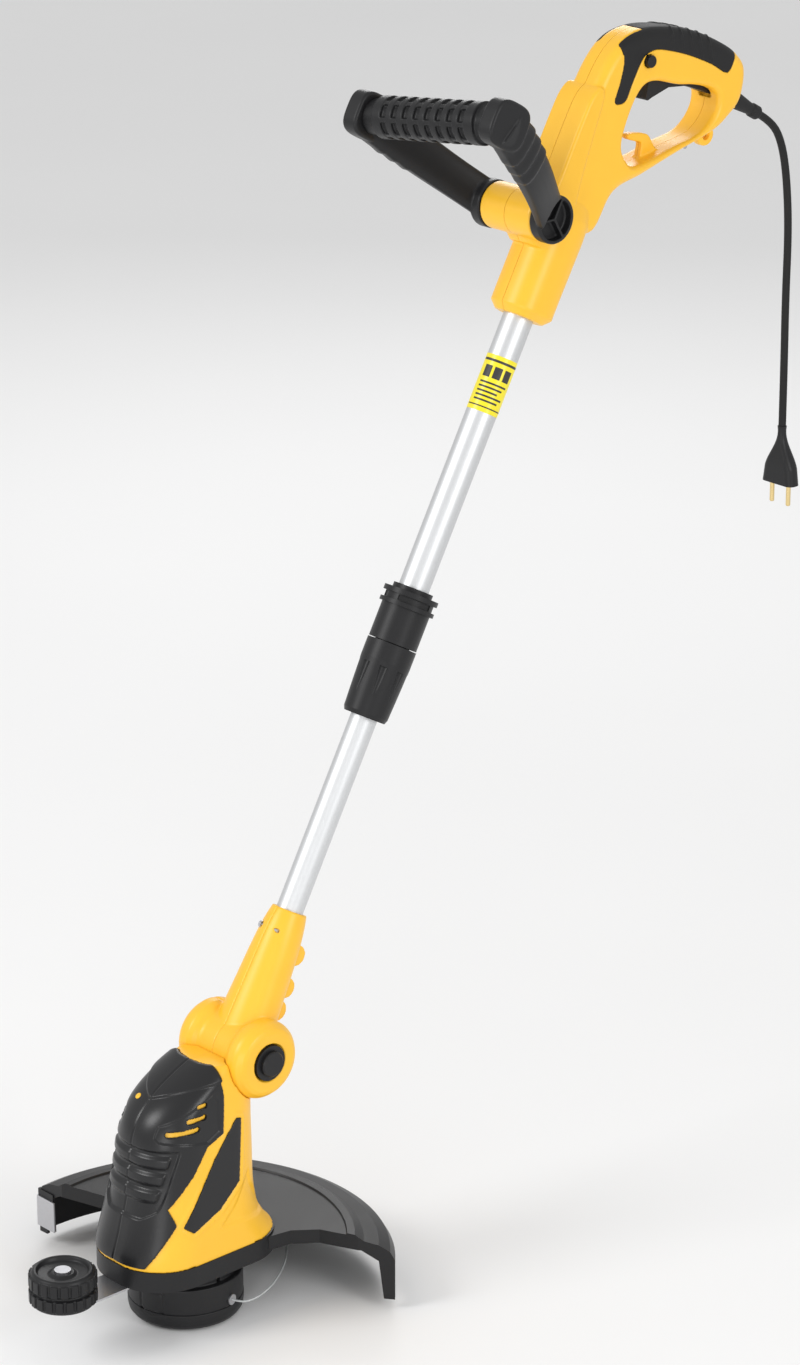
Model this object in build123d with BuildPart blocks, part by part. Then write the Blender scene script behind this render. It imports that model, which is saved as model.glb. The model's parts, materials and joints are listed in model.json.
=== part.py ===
from build123d import *
import math
import os

os.makedirs("parts", exist_ok=True)

# Electric string trimmer, millimetres, +Z up, standing as it is stored.
# Origin: centre of the spool's flat bottom face, on the floor. Front of the tool is -Y.
# The shaft leans back towards +Y in the plane X = 0.

# ---- driving dimensions --------------------------------------------------
shaft_lean = 29.23          # degrees from vertical
pivot_y = 56.83             # tilt axis of the head, parallel to X
pivot_z = 208.75
gap = 0.35                  # clearance between pieces that move on each other
pin_play = 0.05             # running clearance of pins and bearings
wall = 2.6                  # moulded shell thickness

upper_tube_radius = 12.5
lower_tube_radius = 11.0
tube_wall = 1.15
upper_tube_start = 366.0    # distances along the shaft from the tilt axis
upper_tube_end = 720.0
lower_tube_start = 42.0
lower_tube_end = 520.0

handle_half_width = 17.5
housing_start = 618.0       # lower end of the handle housing
barrel_radius = 24.0        # round lower stretch of the housing
aux_pivot_s = 694.0
aux_pivot_t = -40.0
aux_barrel_radius = 19.0
aux_barrel_half = 28.0

spool_radius = 46.0
spool_height = 44.0
guard_radius = 167.0
ring_top = 64.0
ring_bottom = 47.0
wheel_y = -123.0
wheel_radius = 27.0
wheel_height = 30.0

lean = math.radians(shaft_lean)
shaft_dir = Vector(0, math.sin(lean), math.cos(lean))
back_dir = Vector(0, math.cos(lean), -math.sin(lean))
pivot = Vector(0, pivot_y, pivot_z)


def shaft_point(along, back=0.0, side=0.0):
    return pivot + shaft_dir * along + back_dir * back + Vector(side, 0, 0)


def shaft_plane(along):
    """Plane across the shaft: sketch x is the tool's X, sketch y points to the back."""
    return Plane(origin=shaft_point(along), x_dir=(1, 0, 0), z_dir=shaft_dir)


def side_plane(side=0.0):
    """Plane beside the shaft: sketch x points to the back, sketch y runs up the shaft."""
    return Plane(origin=shaft_point(0, 0, side), x_dir=back_dir, z_dir=(1, 0, 0))


def export(piece, name):
    piece.part.label = name
    export_step(piece.part, "parts/" + name + ".step")


def turned_ring(outer, inner, start, length):
    """A plain sleeve about the shaft's axis."""
    with BuildPart() as ring:
        with BuildSketch(shaft_plane(start)):
            Circle(outer)
            if inner > 0:
                Circle(inner, mode=Mode.SUBTRACT)
        extrude(amount=length)
    return ring


def coil_spring(seat, radius, wire, height, turns):
    """A round-wire spring standing on the seat plane."""
    with BuildPart() as spring:
        with BuildLine():
            coil = Helix(pitch=height / turns, height=height, radius=radius)
        with BuildSketch(Plane(origin=coil @ 0, z_dir=coil % 0)):
            Circle(wire / 2)
        sweep(path=coil.edge(), is_frenet=True)
    spring.part = spring.part.moved(seat.location)
    return spring


# ---- tubes ---------------------------------------------------------------
upper_tube = turned_ring(
    upper_tube_radius, upper_tube_radius - tube_wall, upper_tube_start, upper_tube_end - upper_tube_start)
export(upper_tube, "upper_tube")

lower_tube = turned_ring(
    lower_tube_radius, lower_tube_radius - tube_wall, lower_tube_start, lower_tube_end - lower_tube_start)
export(lower_tube, "lower_tube")

label_start = 537.0
label_length = 46.0
label_thickness = 0.25
tube_label = turned_ring(
    upper_tube_radius + label_thickness, upper_tube_radius, label_start, label_length)
export(tube_label, "tube_label")

# coiled supply lead that lets the shaft telescope, drawn as its outer envelope
lead_radius = 6.0
lead_start = 400.0
inner_lead = turned_ring(lead_radius, 0, lead_start, upper_tube_end - lead_start)
export(inner_lead, "inner_lead")

# ---- shaft collar --------------------------------------------------------
collar_top = 388.0
sleeve_bottom = 341.6       # split between the release sleeve and the lock nut
collar_radius = 16.5
sleeve_radius = 20.0
flange_radius = 22.6
spigot_radius = 14.4
spring_bottom = 362.0
spring_top = 376.0
shoulder_radius = 18.0

with BuildPart() as collar_body:
    with BuildSketch(shaft_plane(sleeve_bottom + 1.0)):
        Circle(collar_radius)
    extrude(amount=collar_top - sleeve_bottom - 1.0)
    with BuildSketch(shaft_plane(spring_top)):
        Circle(shoulder_radius)
    extrude(amount=2.0)
    with BuildSketch(shaft_plane(upper_tube_start)):
        Circle(upper_tube_radius)
    extrude(amount=collar_top, mode=Mode.SUBTRACT)
    with BuildSketch(shaft_plane(sleeve_bottom)):
        Circle(spigot_radius + gap)
    extrude(amount=upper_tube_start - sleeve_bottom, mode=Mode.SUBTRACT)
export(collar_body, "collar_body")

sleeve_top = 384.0
with BuildPart() as release_sleeve:
    with BuildSketch(shaft_plane(sleeve_bottom)):
        Circle(sleeve_radius)
    extrude(amount=sleeve_top - sleeve_bottom)
    for flange_start, flange_width in ((371.0, 3.4), (380.0, 4.0)):
        with BuildSketch(shaft_plane(flange_start)):
            Circle(flange_radius)
        extrude(amount=flange_width)
    with BuildSketch(shaft_plane(sleeve_bottom)):
        Circle(collar_radius + gap)
    extrude(amount=sleeve_top, mode=Mode.SUBTRACT)
    with BuildSketch(shaft_plane(spring_bottom)):
        Circle(shoulder_radius + gap)
    extrude(amount=20.0, mode=Mode.SUBTRACT)
    # finger windows between the two flanges
    with BuildSketch(shaft_plane(375.0)):
        with PolarLocations(sleeve_radius, 6):
            Rectangle(2.4, 9)
    extrude(amount=4.4, mode=Mode.SUBTRACT)
export(release_sleeve, "release_sleeve")

release_spring = coil_spring(shaft_plane(spring_bottom + 0.8), collar_radius + 1.1, 1.2, 12.2, 4)
export(release_spring, "release_spring")

with BuildPart() as swivel_body:
    with BuildSketch(shaft_plane(300.0)):
        Circle(15.0)
    extrude(amount=37.0)
    with BuildSketch(shaft_plane(337.0)):
        Circle(16.0)
    extrude(amount=4.0)
    with BuildSketch(shaft_plane(341.0)):
        Circle(spigot_radius)
    extrude(amount=23.0)
    with BuildSketch(shaft_plane(299.0)):
        Circle(lower_tube_radius + gap)
    extrude(amount=80.0, mode=Mode.SUBTRACT)
export(swivel_body, "swivel_body")

with BuildPart() as collet:
    with BuildSketch(shaft_plane(286.0)):
        Circle(12.6)
    with BuildSketch(shaft_plane(300.0)):
        Circle(14.6)
    loft()
    with BuildSketch(shaft_plane(285.0)):
        Circle(lower_tube_radius + gap)
    extrude(amount=20.0, mode=Mode.SUBTRACT)
    with BuildSketch(shaft_plane(285.0)):
        with PolarLocations(13.0, 6):
            Rectangle(6.0, 1.2)
    extrude(amount=11.0, mode=Mode.SUBTRACT)
export(collet, "collet")

nut_start = 279.5
with BuildPart() as lock_nut:
    with BuildSketch(shaft_plane(nut_start)):
        Circle(17.0)
    with BuildSketch(shaft_plane(nut_start + 3.5)):
        Circle(18.4)
    with BuildSketch(shaft_plane(326.0)):
        Circle(20.4)
    with BuildSketch(shaft_plane(sleeve_bottom - 0.8)):
        Circle(20.4)
    loft(ruled=True)
    # grip flutes, wide at the top and pointed at the bottom
    for turn in range(8):
        with BuildSketch(Plane(shaft_plane(nut_start + 4.0).location * Location((0, 0, 0), (0, 0, 45 * turn)))):
            with Locations((20.2, 0)):
                Circle(0.7)
        with BuildSketch(Plane(shaft_plane(322.0).location * Location((0, 0, 0), (0, 0, 45 * turn)))):
            with Locations((22.4, 0)):
                Circle(4.2)
        loft(mode=Mode.SUBTRACT)
    with BuildSketch(shaft_plane(nut_start - 1)):
        Circle(lower_tube_radius + gap)
    extrude(amount=80.0, mode=Mode.SUBTRACT)
    with BuildSketch(shaft_plane(285.0)):
        Circle(12.6 + gap + 0.1)
    with BuildSketch(shaft_plane(300.0)):
        Circle(15.0 + gap)
    loft(mode=Mode.SUBTRACT)
    with BuildSketch(shaft_plane(300.0)):
        Circle(15.0 + gap)
    extrude(amount=60.0, mode=Mode.SUBTRACT)
    with BuildSketch(shaft_plane(336.5)):
        Circle(16.0 + gap)
    extrude(amount=20.0, mode=Mode.SUBTRACT)
export(lock_nut, "lock_nut")

# ---- handle housing ------------------------------------------------------
# outlines are in the side plane: (distance to the back, distance up the shaft)
handle_outline = [
    (-24, 690), (-25.5, 803), (-13, 852), (28, 876), (88, 889),
    (127, 884), (136, 856), (119, 820), (33, 733), (27, 690)]
opening_outline = [(39, 764), (39, 824), (78, 853), (106, 857), (111, 822), (101, 811)]
grip_band = [(-13, 852), (28, 876), (88, 889), (112, 887), (110, 868), (60, 866), (34, 861), (14, 852), (-6, 838)]
grip_leg = [(-9, 848), (16, 853), (9, 840), (9, 808), (0, 801), (-3, 816)]
leg_depth = 1.6
hang_eye_t = 124.0          # hanging eye behind the lower limb
hang_eye_s = 818.0
hang_eye_radius = 4.0
relief_s = 855.5
relief_tip_t = 177.0

trigger_outline = [
    (41, 816), (46, 822), (60, 836), (78, 844), (96, 847), (107, 848),
    (107, 858), (95, 859), (76, 857), (58, 851), (44, 843), (36, 832)]
trigger_slot = [
    (30, 824), (31, 853), (58, 862), (100, 865), (114, 864), (114, 846), (100, 846), (41, 814)]
trigger_pivot = (100.0, 853.0)
trigger_half = 6.0
trunnion_radius = 2.5
button_t = 16.4
button_s = 844.0
button_radius = 5.0
button_inner = 9.0
button_outer = 21.0
screw_spots = [(18, 648), (8, 735), (-16, 800), (98, 800), (124, 868)]
screw_radius = 2.0
screw_head_radius = 3.6


def side_prism(points, low, high):
    """A straight block whose side view is the given outline."""
    with BuildPart() as prism:
        with BuildSketch(side_plane(low)):
            with BuildLine():
                Polyline(points, close=True)
            make_face()
        extrude(amount=high - low)
    return prism.part


def side_pin(back, along, radius, low, high):
    """A round bar parallel to X."""
    with BuildPart() as pin:
        with BuildSketch(side_plane(low)):
            with Locations((back, along)):
                Circle(radius)
        extrude(amount=high - low)
    return pin.part


with BuildPart() as grip_overmould:
    with BuildSketch(side_plane()):
        with BuildLine():
            Polyline(handle_outline, close=True)
        make_face()
    extrude(amount=handle_half_width, both=True)
    fillet(grip_overmould.faces().filter_by(Axis.X).edges(), 6)
    add(side_prism(grip_band, -30, 30) + side_prism(grip_leg, handle_half_width - leg_depth, 30)
        + side_prism(grip_leg, -30, leg_depth - handle_half_width), mode=Mode.INTERSECT)
    add(side_pin(button_t, button_s, button_radius + 1.5, -30, 30), mode=Mode.SUBTRACT)
export(grip_overmould, "grip_overmould")

with BuildPart() as handle_body:
    with BuildSketch(side_plane()):
        with BuildLine():
            Polyline(handle_outline, close=True)
        make_face()
    extrude(amount=handle_half_width, both=True)
    fillet(handle_body.faces().filter_by(Axis.X).edges(), 6)
    with BuildSketch(shaft_plane(housing_start)):
        Circle(barrel_radius)
    extrude(amount=90.0)
    with BuildSketch(side_plane()):
        with Locations((aux_pivot_t, aux_pivot_s)):
            Circle(aux_barrel_radius)
    extrude(amount=aux_barrel_half, both=True)
    with BuildSketch(side_plane()):
        with Locations((hang_eye_t, hang_eye_s)):
            Circle(9)
        with Locations((hang_eye_t - 10, hang_eye_s + 6)):
            Circle(12)
    extrude(amount=4.0, both=True)
    add(side_prism(opening_outline, -30, 30), mode=Mode.SUBTRACT)
    # cable hook standing on the lower limb, inside the opening
    with BuildSketch(side_plane()):
        with BuildLine():
            Polyline((62, 780), (60, 791), (44, 790), (45, 794), (63, 797), (72, 788), close=True)
        make_face()
    extrude(amount=3.5, both=True)
    # hollow inside
    pocket = [(-21, 712), (-22, 800), (-8, 834), (10, 838), (28, 832), (34, 812), (34, 752), (24, 728), (20, 722)]
    add(side_prism(pocket, wall - handle_half_width, handle_half_width - wall), mode=Mode.SUBTRACT)
    add(side_prism(trigger_slot, -trigger_half - gap, trigger_half + gap), mode=Mode.SUBTRACT)
    add(side_pin(*trigger_pivot, trunnion_radius + pin_play, -10.5, 10.5), mode=Mode.SUBTRACT)
    add(side_pin(button_t, button_s, button_radius + gap, 4.5, 30), mode=Mode.SUBTRACT)
    add(side_pin(hang_eye_t, hang_eye_s, hang_eye_radius, -30, 30), mode=Mode.SUBTRACT)
    add(side_pin(aux_pivot_t, aux_pivot_s, 4.0, -30, 30), mode=Mode.SUBTRACT)
    # bore for the shaft tube and the cable's way out
    with BuildSketch(shaft_plane(housing_start - 1)):
        Circle(upper_tube_radius)
    extrude(amount=upper_tube_end - housing_start + 1, mode=Mode.SUBTRACT)
    with BuildSketch(Plane(origin=shaft_point(relief_s, 108), x_dir=(1, 0, 0), z_dir=back_dir)):
        Circle(6.0)
    extrude(amount=40.0, mode=Mode.SUBTRACT)
    # screws enter from the right-hand side
    for back, along in screw_spots:
        add(side_pin(back, along, screw_radius, -16, 12), mode=Mode.SUBTRACT)
        add(side_pin(back, along, screw_head_radius, -30, -13.5), mode=Mode.SUBTRACT)
    add(grip_overmould.part, mode=Mode.SUBTRACT)
    # shallow thumb ribs on the back of the round stretch
    for rib in range(3):
        with BuildSketch(side_plane()):
            with Locations((barrel_radius - 1.0, 668 + 14 * rib)):
                Circle(4.5)
        extrude(amount=9.0, both=True)

for side_name, kept in (("left", Keep.TOP), ("right", Keep.BOTTOM)):
    with BuildPart() as handle_shell:
        add(handle_body.part)
        split(bisect_by=Plane.YZ, keep=kept)
    export(handle_shell, "handle_shell_" + side_name)

with BuildPart() as handle_screws:
    for back, along in screw_spots:
        add(side_pin(back, along, screw_radius, -14, 11))
        add(side_pin(back, along, screw_head_radius - 0.2, -16, -13.5))
export(handle_screws, "handle_screws")

# ---- trigger, lock button, electrics -------------------------------------
with BuildPart() as trigger:
    add(side_prism(trigger_outline, -trigger_half, trigger_half))
    fillet(trigger.edges().filter_by(Axis.X).sort_by(Axis.Y)[:2], 2)
    add(side_pin(*trigger_pivot, trunnion_radius, -10, 10))
export(trigger, "trigger")

spring_seat = Plane(origin=shaft_point(848.5, 50.0), x_dir=(1, 0, 0), z_dir=shaft_dir)
trigger_spring = coil_spring(spring_seat, 2.6, 0.7, 7.5, 4)
export(trigger_spring, "trigger_spring")

with BuildPart() as lock_button:
    add(side_pin(button_t, button_s, button_radius, button_inner, button_outer))
    fillet(lock_button.edges().sort_by(Axis.X)[-1], 1.0)
export(lock_button, "lock_button")

lock_seat = Plane(origin=shaft_point(button_s, button_t, 4.9), x_dir=back_dir, z_dir=(1, 0, 0))
lock_spring = coil_spring(lock_seat, 3.2, 0.7, 3.6, 3)
export(lock_spring, "lock_spring")

with BuildPart() as switch_body:
    add(side_prism([(-6, 790), (-6, 816), (22, 816), (22, 790)], -9, 9))
    add(side_prism([(8, 816), (8, 822), (16, 822), (16, 816)], -4, 4))
export(switch_body, "switch_body")

with BuildPart() as capacitor:
    add(side_prism([(-14, 742), (-14, 770), (6, 770), (6, 742)], -7, 7))
export(capacitor, "capacitor")

with BuildPart() as strain_relief:
    with BuildSketch(Plane(origin=shaft_point(relief_s, 0), x_dir=back_dir, z_dir=(1, 0, 0))):
        with BuildLine():
            Polyline((110, 0), (110, 6), (137.5, 6), (137.5, 7.6), (141, 7.6), (166, 4.9), (168, 5.9), (175, 5.9),
                     (relief_tip_t, 4.6), (relief_tip_t, 0), close=True)
        make_face()
    revolve(axis=Axis(shaft_point(relief_s, 0), back_dir))
export(strain_relief, "strain_relief")

# ---- auxiliary handle ----------------------------------------------------
grip_t = -163.0
grip_s = 725.0
grip_half = 67.0
grip_bar_radius = 17.0
grip_slope = 7.6            # degrees: the left end of the grip stands higher
grip_groove_depth = 1.8
arm_root_x = 32.5           # arm centre lines, at the pivot and at the grip
arm_end_x = 71.0
bolt_radius = 4.0
grip_rise = arm_end_x * math.tan(math.radians(grip_slope))
grip_dir = Vector(1, 0, 0) * math.cos(math.radians(grip_slope)) + shaft_dir * math.sin(math.radians(grip_slope))


def grip_plane(along=0.0):
    """Plane across the sloping grip: sketch x points to the back."""
    return Plane(origin=shaft_point(grip_s, grip_t) + grip_dir * along, x_dir=back_dir, z_dir=grip_dir)


for side_name, sign in (("left", 1), ("right", -1)):
    root = shaft_point(aux_pivot_s, aux_pivot_t, sign * arm_root_x)
    cap_s = grip_s + sign * grip_rise
    tip = shaft_point(cap_s, grip_t, sign * arm_end_x)
    along = (tip - root).normalized()
    with BuildPart() as arm:
        for step, height, thick in ((0.0, 34, 7), (0.35, 32, 9), (0.75, 34, 11), (1.0, 36, 13)):
            with BuildSketch(Plane(origin=root + (tip - root) * step, x_dir=along.cross(shaft_dir), z_dir=along)):
                RectangleRounded(thick, height, 3)
        loft()
        add(side_pin(aux_pivot_t, aux_pivot_s, 19.5, sign * 32.5 - 4, sign * 32.5 + 4))
        with BuildSketch(side_plane(sign * arm_end_x - 7)):
            with Locations((grip_t, cap_s)):
                RectangleRounded(38, 36, 12)
        extrude(amount=14)
        add(side_pin(aux_pivot_t, aux_pivot_s, bolt_radius + pin_play, -60, 60), mode=Mode.SUBTRACT)
        add(side_pin(aux_pivot_t, aux_pivot_s, 9.0, min(sign * 36.6, sign * 60), max(sign * 36.6, sign * 60)),
            mode=Mode.SUBTRACT)
        with BuildSketch(grip_plane(-grip_half)):
            Circle(grip_bar_radius)
        extrude(amount=2 * grip_half, mode=Mode.SUBTRACT)
        # clearance to the end of the yellow barrel
        with BuildSketch(side_plane(sign * 24)):
            with Locations((aux_pivot_t, aux_pivot_s)):
                Circle(20)
        extrude(amount=sign * 4.5, mode=Mode.SUBTRACT)
    export(arm, "aux_arm_" + side_name)

with BuildPart() as aux_grip:
    with BuildSketch(grip_plane(-grip_half)):
        Circle(grip_bar_radius)
    extrude(amount=2 * grip_half)
    # eight grooves, crossed by six ribs, leave rows of small windows
    for groove in range(8):
        with BuildSketch(grip_plane(-43.5 + 11.7 * groove)):
            Circle(grip_bar_radius + 1)
            Circle(grip_bar_radius - grip_groove_depth, mode=Mode.SUBTRACT)
        extrude(amount=5.6, mode=Mode.SUBTRACT)
    with BuildSketch(grip_plane(-45)):
        for turn in (0, 60, 120):
            Rectangle(2 * grip_bar_radius - 0.4, 5.0, rotation=turn)
    extrude(amount=92)
export(aux_grip, "aux_grip")

with BuildPart() as aux_pivot_bolt:
    add(side_pin(aux_pivot_t, aux_pivot_s, bolt_radius, -37, 37))
    add(side_pin(aux_pivot_t, aux_pivot_s, 7.0, 37, 40))
    with BuildSketch(side_plane(-40)):
        with Locations((aux_pivot_t, aux_pivot_s)):
            RegularPolygon(7.5, 6)
    extrude(amount=3)
export(aux_pivot_bolt, "aux_pivot_bolt")

# ---- lower sleeve and tilt barrel ----------------------------------------
# (distance up the shaft, half width, front, back)
sleeve_sections = [
    (0, 25, 22, 22), (28, 24, 21.5, 21), (56, 21.8, 20, 20), (84, 19.5, 18.5, 18.5), (108, 16, 16, 16), (116, 14.2, 14.2, 14.2)]
barrel_profile = [(-40, 24), (-38.5, 27.5), (-34, 31), (-31, 32), (-25, 32), (-21, 30), (-18, 27), (-15, 26.5)]
cradle_gap = 0.4
lug_half = 9.0
lug_radius = 19.0
pin_radius = 4.0
tilt_low = -25.0
tilt_high = 40.0
knob_base_radius = 14.5
knob_cap_radius = 10.5
knob_inner = 33.0
knob_outer = 44.6
knob_travel = 4.0
sleeve_screw_spots = [(-11, 32), (17, 40), (16.5, 70), (-14, 98)]


def barrel_solid(extra):
    """The waisted barrel about the tilt axis, grown by extra."""
    half = [(x - extra if x < -28 else x + extra, r + extra) for x, r in barrel_profile]
    whole = half + [(-x, r) for x, r in reversed(half)]
    with BuildPart() as solid:
        with BuildSketch(Plane(origin=pivot, x_dir=(1, 0, 0), z_dir=(0, -1, 0))):
            with BuildLine():
                Polyline([(whole[0][0], 0)] + whole + [(whole[-1][0], 0)], close=True)
            make_face()
        revolve(axis=Axis(pivot, (1, 0, 0)))
    return solid.part


with BuildPart() as sleeve_body:
    for along, half_width, front, back in sleeve_sections:
        with BuildSketch(shaft_plane(along)):
            with Locations((0, (back - front) / 2)):
                Ellipse(half_width, (front + back) / 2)
    loft()
    for along, back in ((84, 15.5), (57, 17.5), (38, 18.0)):
        with BuildSketch(side_plane()):
            with Locations((back, along)):
                Circle(8.5)
        extrude(amount=11.0, both=True)
    add(barrel_solid(0))
    # room for the head's pivot lug over the whole tilt range
    add(side_pin(0, 0, lug_radius + 0.6, -lug_half - gap, lug_half + gap), mode=Mode.SUBTRACT)
    with BuildSketch(Plane(origin=pivot, x_dir=(0, 1, 0), z_dir=(1, 0, 0))):
        with BuildLine():
            low_angle = math.radians(270 + tilt_low - 37)
            high_angle = math.radians(270 + tilt_high + 27)
            mid_angle = (low_angle + high_angle) / 2
            Polyline((0, 0), (60 * math.cos(low_angle), 60 * math.sin(low_angle)),
                     (60 * math.cos(mid_angle), 60 * math.sin(mid_angle)),
                     (60 * math.cos(high_angle), 60 * math.sin(high_angle)), close=True)
        make_face()
    extrude(amount=lug_half + gap, both=True, mode=Mode.SUBTRACT)
    with BuildSketch(shaft_plane(lower_tube_start)):
        Circle(lower_tube_radius)
    extrude(amount=100.0, mode=Mode.SUBTRACT)
    with BuildSketch(shaft_plane(24)):
        Circle(8.0)
    extrude(amount=30.0, mode=Mode.SUBTRACT)
    add(side_pin(0, 0, pin_radius, -30, 30), mode=Mode.SUBTRACT)
    add(side_pin(0, 0, knob_base_radius + gap, knob_inner - knob_travel - 0.6, 60), mode=Mode.SUBTRACT)
    add(side_pin(0, 0, 16.0, 38.0, 60), mode=Mode.SUBTRACT)
    for back, along in sleeve_screw_spots:
        add(side_pin(back, along, 1.6, -10, 11), mode=Mode.SUBTRACT)
        add(side_pin(back, along, 3.2, -40, -8), mode=Mode.SUBTRACT)

for side_name, kept in (("left", Keep.TOP), ("right", Keep.BOTTOM)):
    with BuildPart() as sleeve_half:
        add(sleeve_body.part)
        split(bisect_by=Plane.YZ, keep=kept)
    export(sleeve_half, "lower_sleeve_" + side_name)

with BuildPart() as sleeve_screws:
    for back, along in sleeve_screw_spots:
        add(side_pin(back, along, 1.6, -9, 10))
        add(side_pin(back, along, 3.0, -10.5, -8))
export(sleeve_screws, "sleeve_screws")

with BuildPart() as pivot_pin:
    add(side_pin(0, 0, pin_radius, -30, 27))
export(pivot_pin, "pivot_pin")

with BuildPart() as tilt_button:
    add(side_pin(0, 0, knob_base_radius, knob_inner, 41))
    add(side_pin(0, 0, knob_cap_radius, 41, knob_outer))
    chamfer(tilt_button.edges().sort_by(Axis.X)[-1], 1.0)
export(tilt_button, "tilt_button")

tilt_seat = Plane(origin=shaft_point(0, 0, 28.9), x_dir=back_dir, z_dir=(1, 0, 0))
tilt_spring = coil_spring(tilt_seat, 8.0, 0.8, 3.6, 2)
export(tilt_spring, "tilt_spring")

# ---- motor housing -------------------------------------------------------
# (height, front, rear, half width, corner radius)
head_sections = [
    (64, -71.5, 73, 49, 42), (82, -68, 60, 48, 41), (102, -62.5, 55, 46, 40), (125, -57, 55, 43, 38),
    (150, -53, 56, 40, 36), (172, -48, 57, 37, 34), (190, -34, 58, 34, 30), (204, -12, 56, 31, 26), (213, 8, 50, 27, 19)]
cover_side = [
    (-100, 67), (-100, 240), (13, 240), (13, 207), (14, 192), (9, 163), (-8, 157), (-24, 138), (-46, 114), (-42, 101),
    (-63, 72), (-66, 67)]
badge_side = [(29, 169.5), (24, 171), (11, 158), (-2, 144), (-21, 119), (-37, 98), (-29, 92), (-1, 103), (21, 120)]
cover_depth = 1.6
cover_proud = 1.2
motor_cavity_top = 170.0
motor_radius = 30.0


def head_solid(extra):
    """The motor housing's outer form, grown by extra."""
    with BuildPart() as solid:
        for height, front, rear, half_width, corner in head_sections:
            with BuildSketch(Plane.XY.offset(height)):
                with Locations((0, (front + rear) / 2)):
                    RectangleRounded(2 * (half_width + extra), rear - front + 2 * extra, corner + extra)
        loft()
    return solid.part


def yz_prism(points, low, high):
    with BuildPart() as prism:
        with BuildSketch(Plane(origin=(low, 0, 0), x_dir=(0, 1, 0), z_dir=(1, 0, 0))):
            with BuildLine():
                Polyline(points, close=True)
            make_face()
        extrude(amount=high - low)
    return prism.part


head_outer = head_solid(0)
head_proud = head_solid(cover_proud)
head_sunk = head_solid(-cover_depth)
cradle = barrel_solid(cradle_gap)

with BuildPart() as front_cover:
    add(head_proud)
    add(head_sunk, mode=Mode.SUBTRACT)
    add(yz_prism(cover_side, -80, 80), mode=Mode.INTERSECT)
export(front_cover, "front_cover")

with BuildPart() as side_inserts:
    add(head_solid(0.5))
    add(head_sunk, mode=Mode.SUBTRACT)
    add(yz_prism(badge_side, -80, 80), mode=Mode.INTERSECT)
    add(front_cover.part, mode=Mode.SUBTRACT)
print("inserts", len(side_inserts.part.solids()))
export(side_inserts, "side_inserts")

with BuildPart() as head_body:
    add(head_outer)
    add(front_cover.part, mode=Mode.SUBTRACT)
    add(side_inserts.part, mode=Mode.SUBTRACT)
    with BuildSketch(Plane.XY.offset(60)):
        with Locations((0, 1)):
            RectangleRounded(2 * 44, 128, 38)
    with BuildSketch(Plane.XY.offset(100)):
        with Locations((0, -3)):
            RectangleRounded(2 * 40, 106, 34)
    with BuildSketch(Plane.XY.offset(motor_cavity_top)):
        with Locations((0, 3)):
            RectangleRounded(2 * 32, 90, 28)
    loft(mode=Mode.SUBTRACT)
    add(cradle, mode=Mode.SUBTRACT)
    add(side_pin(0, 0, lug_radius, -lug_half, lug_half))
    with BuildSketch(Plane.XY.offset(172)):
        with Locations((0, pivot_y - 3.5)):
            Rectangle(2 * lug_half, 17)
    extrude(amount=30)
    add(side_pin(0, 0, pin_radius + pin_play, -40, 40), mode=Mode.SUBTRACT)
    # bearing seat that carries the motor's upper bearing
    with BuildSketch(Plane.XY.offset(160)):
        Circle(14)
    extrude(amount=14)
    with BuildSketch(Plane.XY.offset(159)):
        Circle(9.5)
    extrude(amount=8, mode=Mode.SUBTRACT)
    with BuildSketch(Plane.XY.offset(159)):
        Circle(5)
    extrude(amount=13, mode=Mode.SUBTRACT)
    # stator ribs
    with BuildSketch(Plane.XY.offset(100)):
        Rectangle(76, 6)
        Circle(motor_radius, mode=Mode.SUBTRACT)
    extrude(amount=40)


for side_name, kept in (("left", Keep.TOP), ("right", Keep.BOTTOM)):
    with BuildPart() as housing_half:
        add(head_body.part)
        split(bisect_by=Plane.YZ, keep=kept)
    export(housing_half, "motor_housing_" + side_name)
    print("housing", side_name, len(housing_half.part.solids()))

# ---- base ring, guard and wheel arm --------------------------------------
ring_front = -72.0
ring_rear = 74.0
ring_half_width = 50.0
ring_corner = 43.0
deck = 3.0


def ring_outline(extra):
    with Locations((0, (ring_front + ring_rear) / 2)):
        RectangleRounded(2 * (ring_half_width + extra), ring_rear - ring_front + 2 * extra, ring_corner + extra)


guard_screw_spots = [(-22, 60), (22, 60)]
plate_screw_spots = [(-9, -59), (9, -59)]
ring_screw_spots = guard_screw_spots + plate_screw_spots
with BuildPart() as base_ring:
    with BuildSketch(Plane.XY.offset(ring_bottom)):
        ring_outline(0)
    extrude(amount=ring_top - ring_bottom)
    with BuildSketch(Plane.XY.offset(ring_bottom + deck)):
        ring_outline(-6)
    extrude(amount=40, mode=Mode.SUBTRACT)
    with BuildSketch(Plane.XY.offset(ring_bottom)):
        Circle(15)
        with Locations(*ring_screw_spots):
            Circle(5)
    extrude(amount=14)
    with BuildSketch(Plane.XY.offset(ring_bottom + deck)):
        Circle(9.5)
    extrude(amount=20, mode=Mode.SUBTRACT)
    with BuildSketch(Plane.XY.offset(ring_bottom - 1)):
        Circle(5)
        with Locations(*ring_screw_spots):
            Circle(2)
    extrude(amount=11, mode=Mode.SUBTRACT)
export(base_ring, "base_ring")

guard_thickness = 2.6
guard_top = 62.0
guard_skirt_bottom = 9.0
guard_lip = 12.0
lip_thickness = 3.0
guard_shelf_bottom = 44.6
shelf_inner = 48.5
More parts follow.
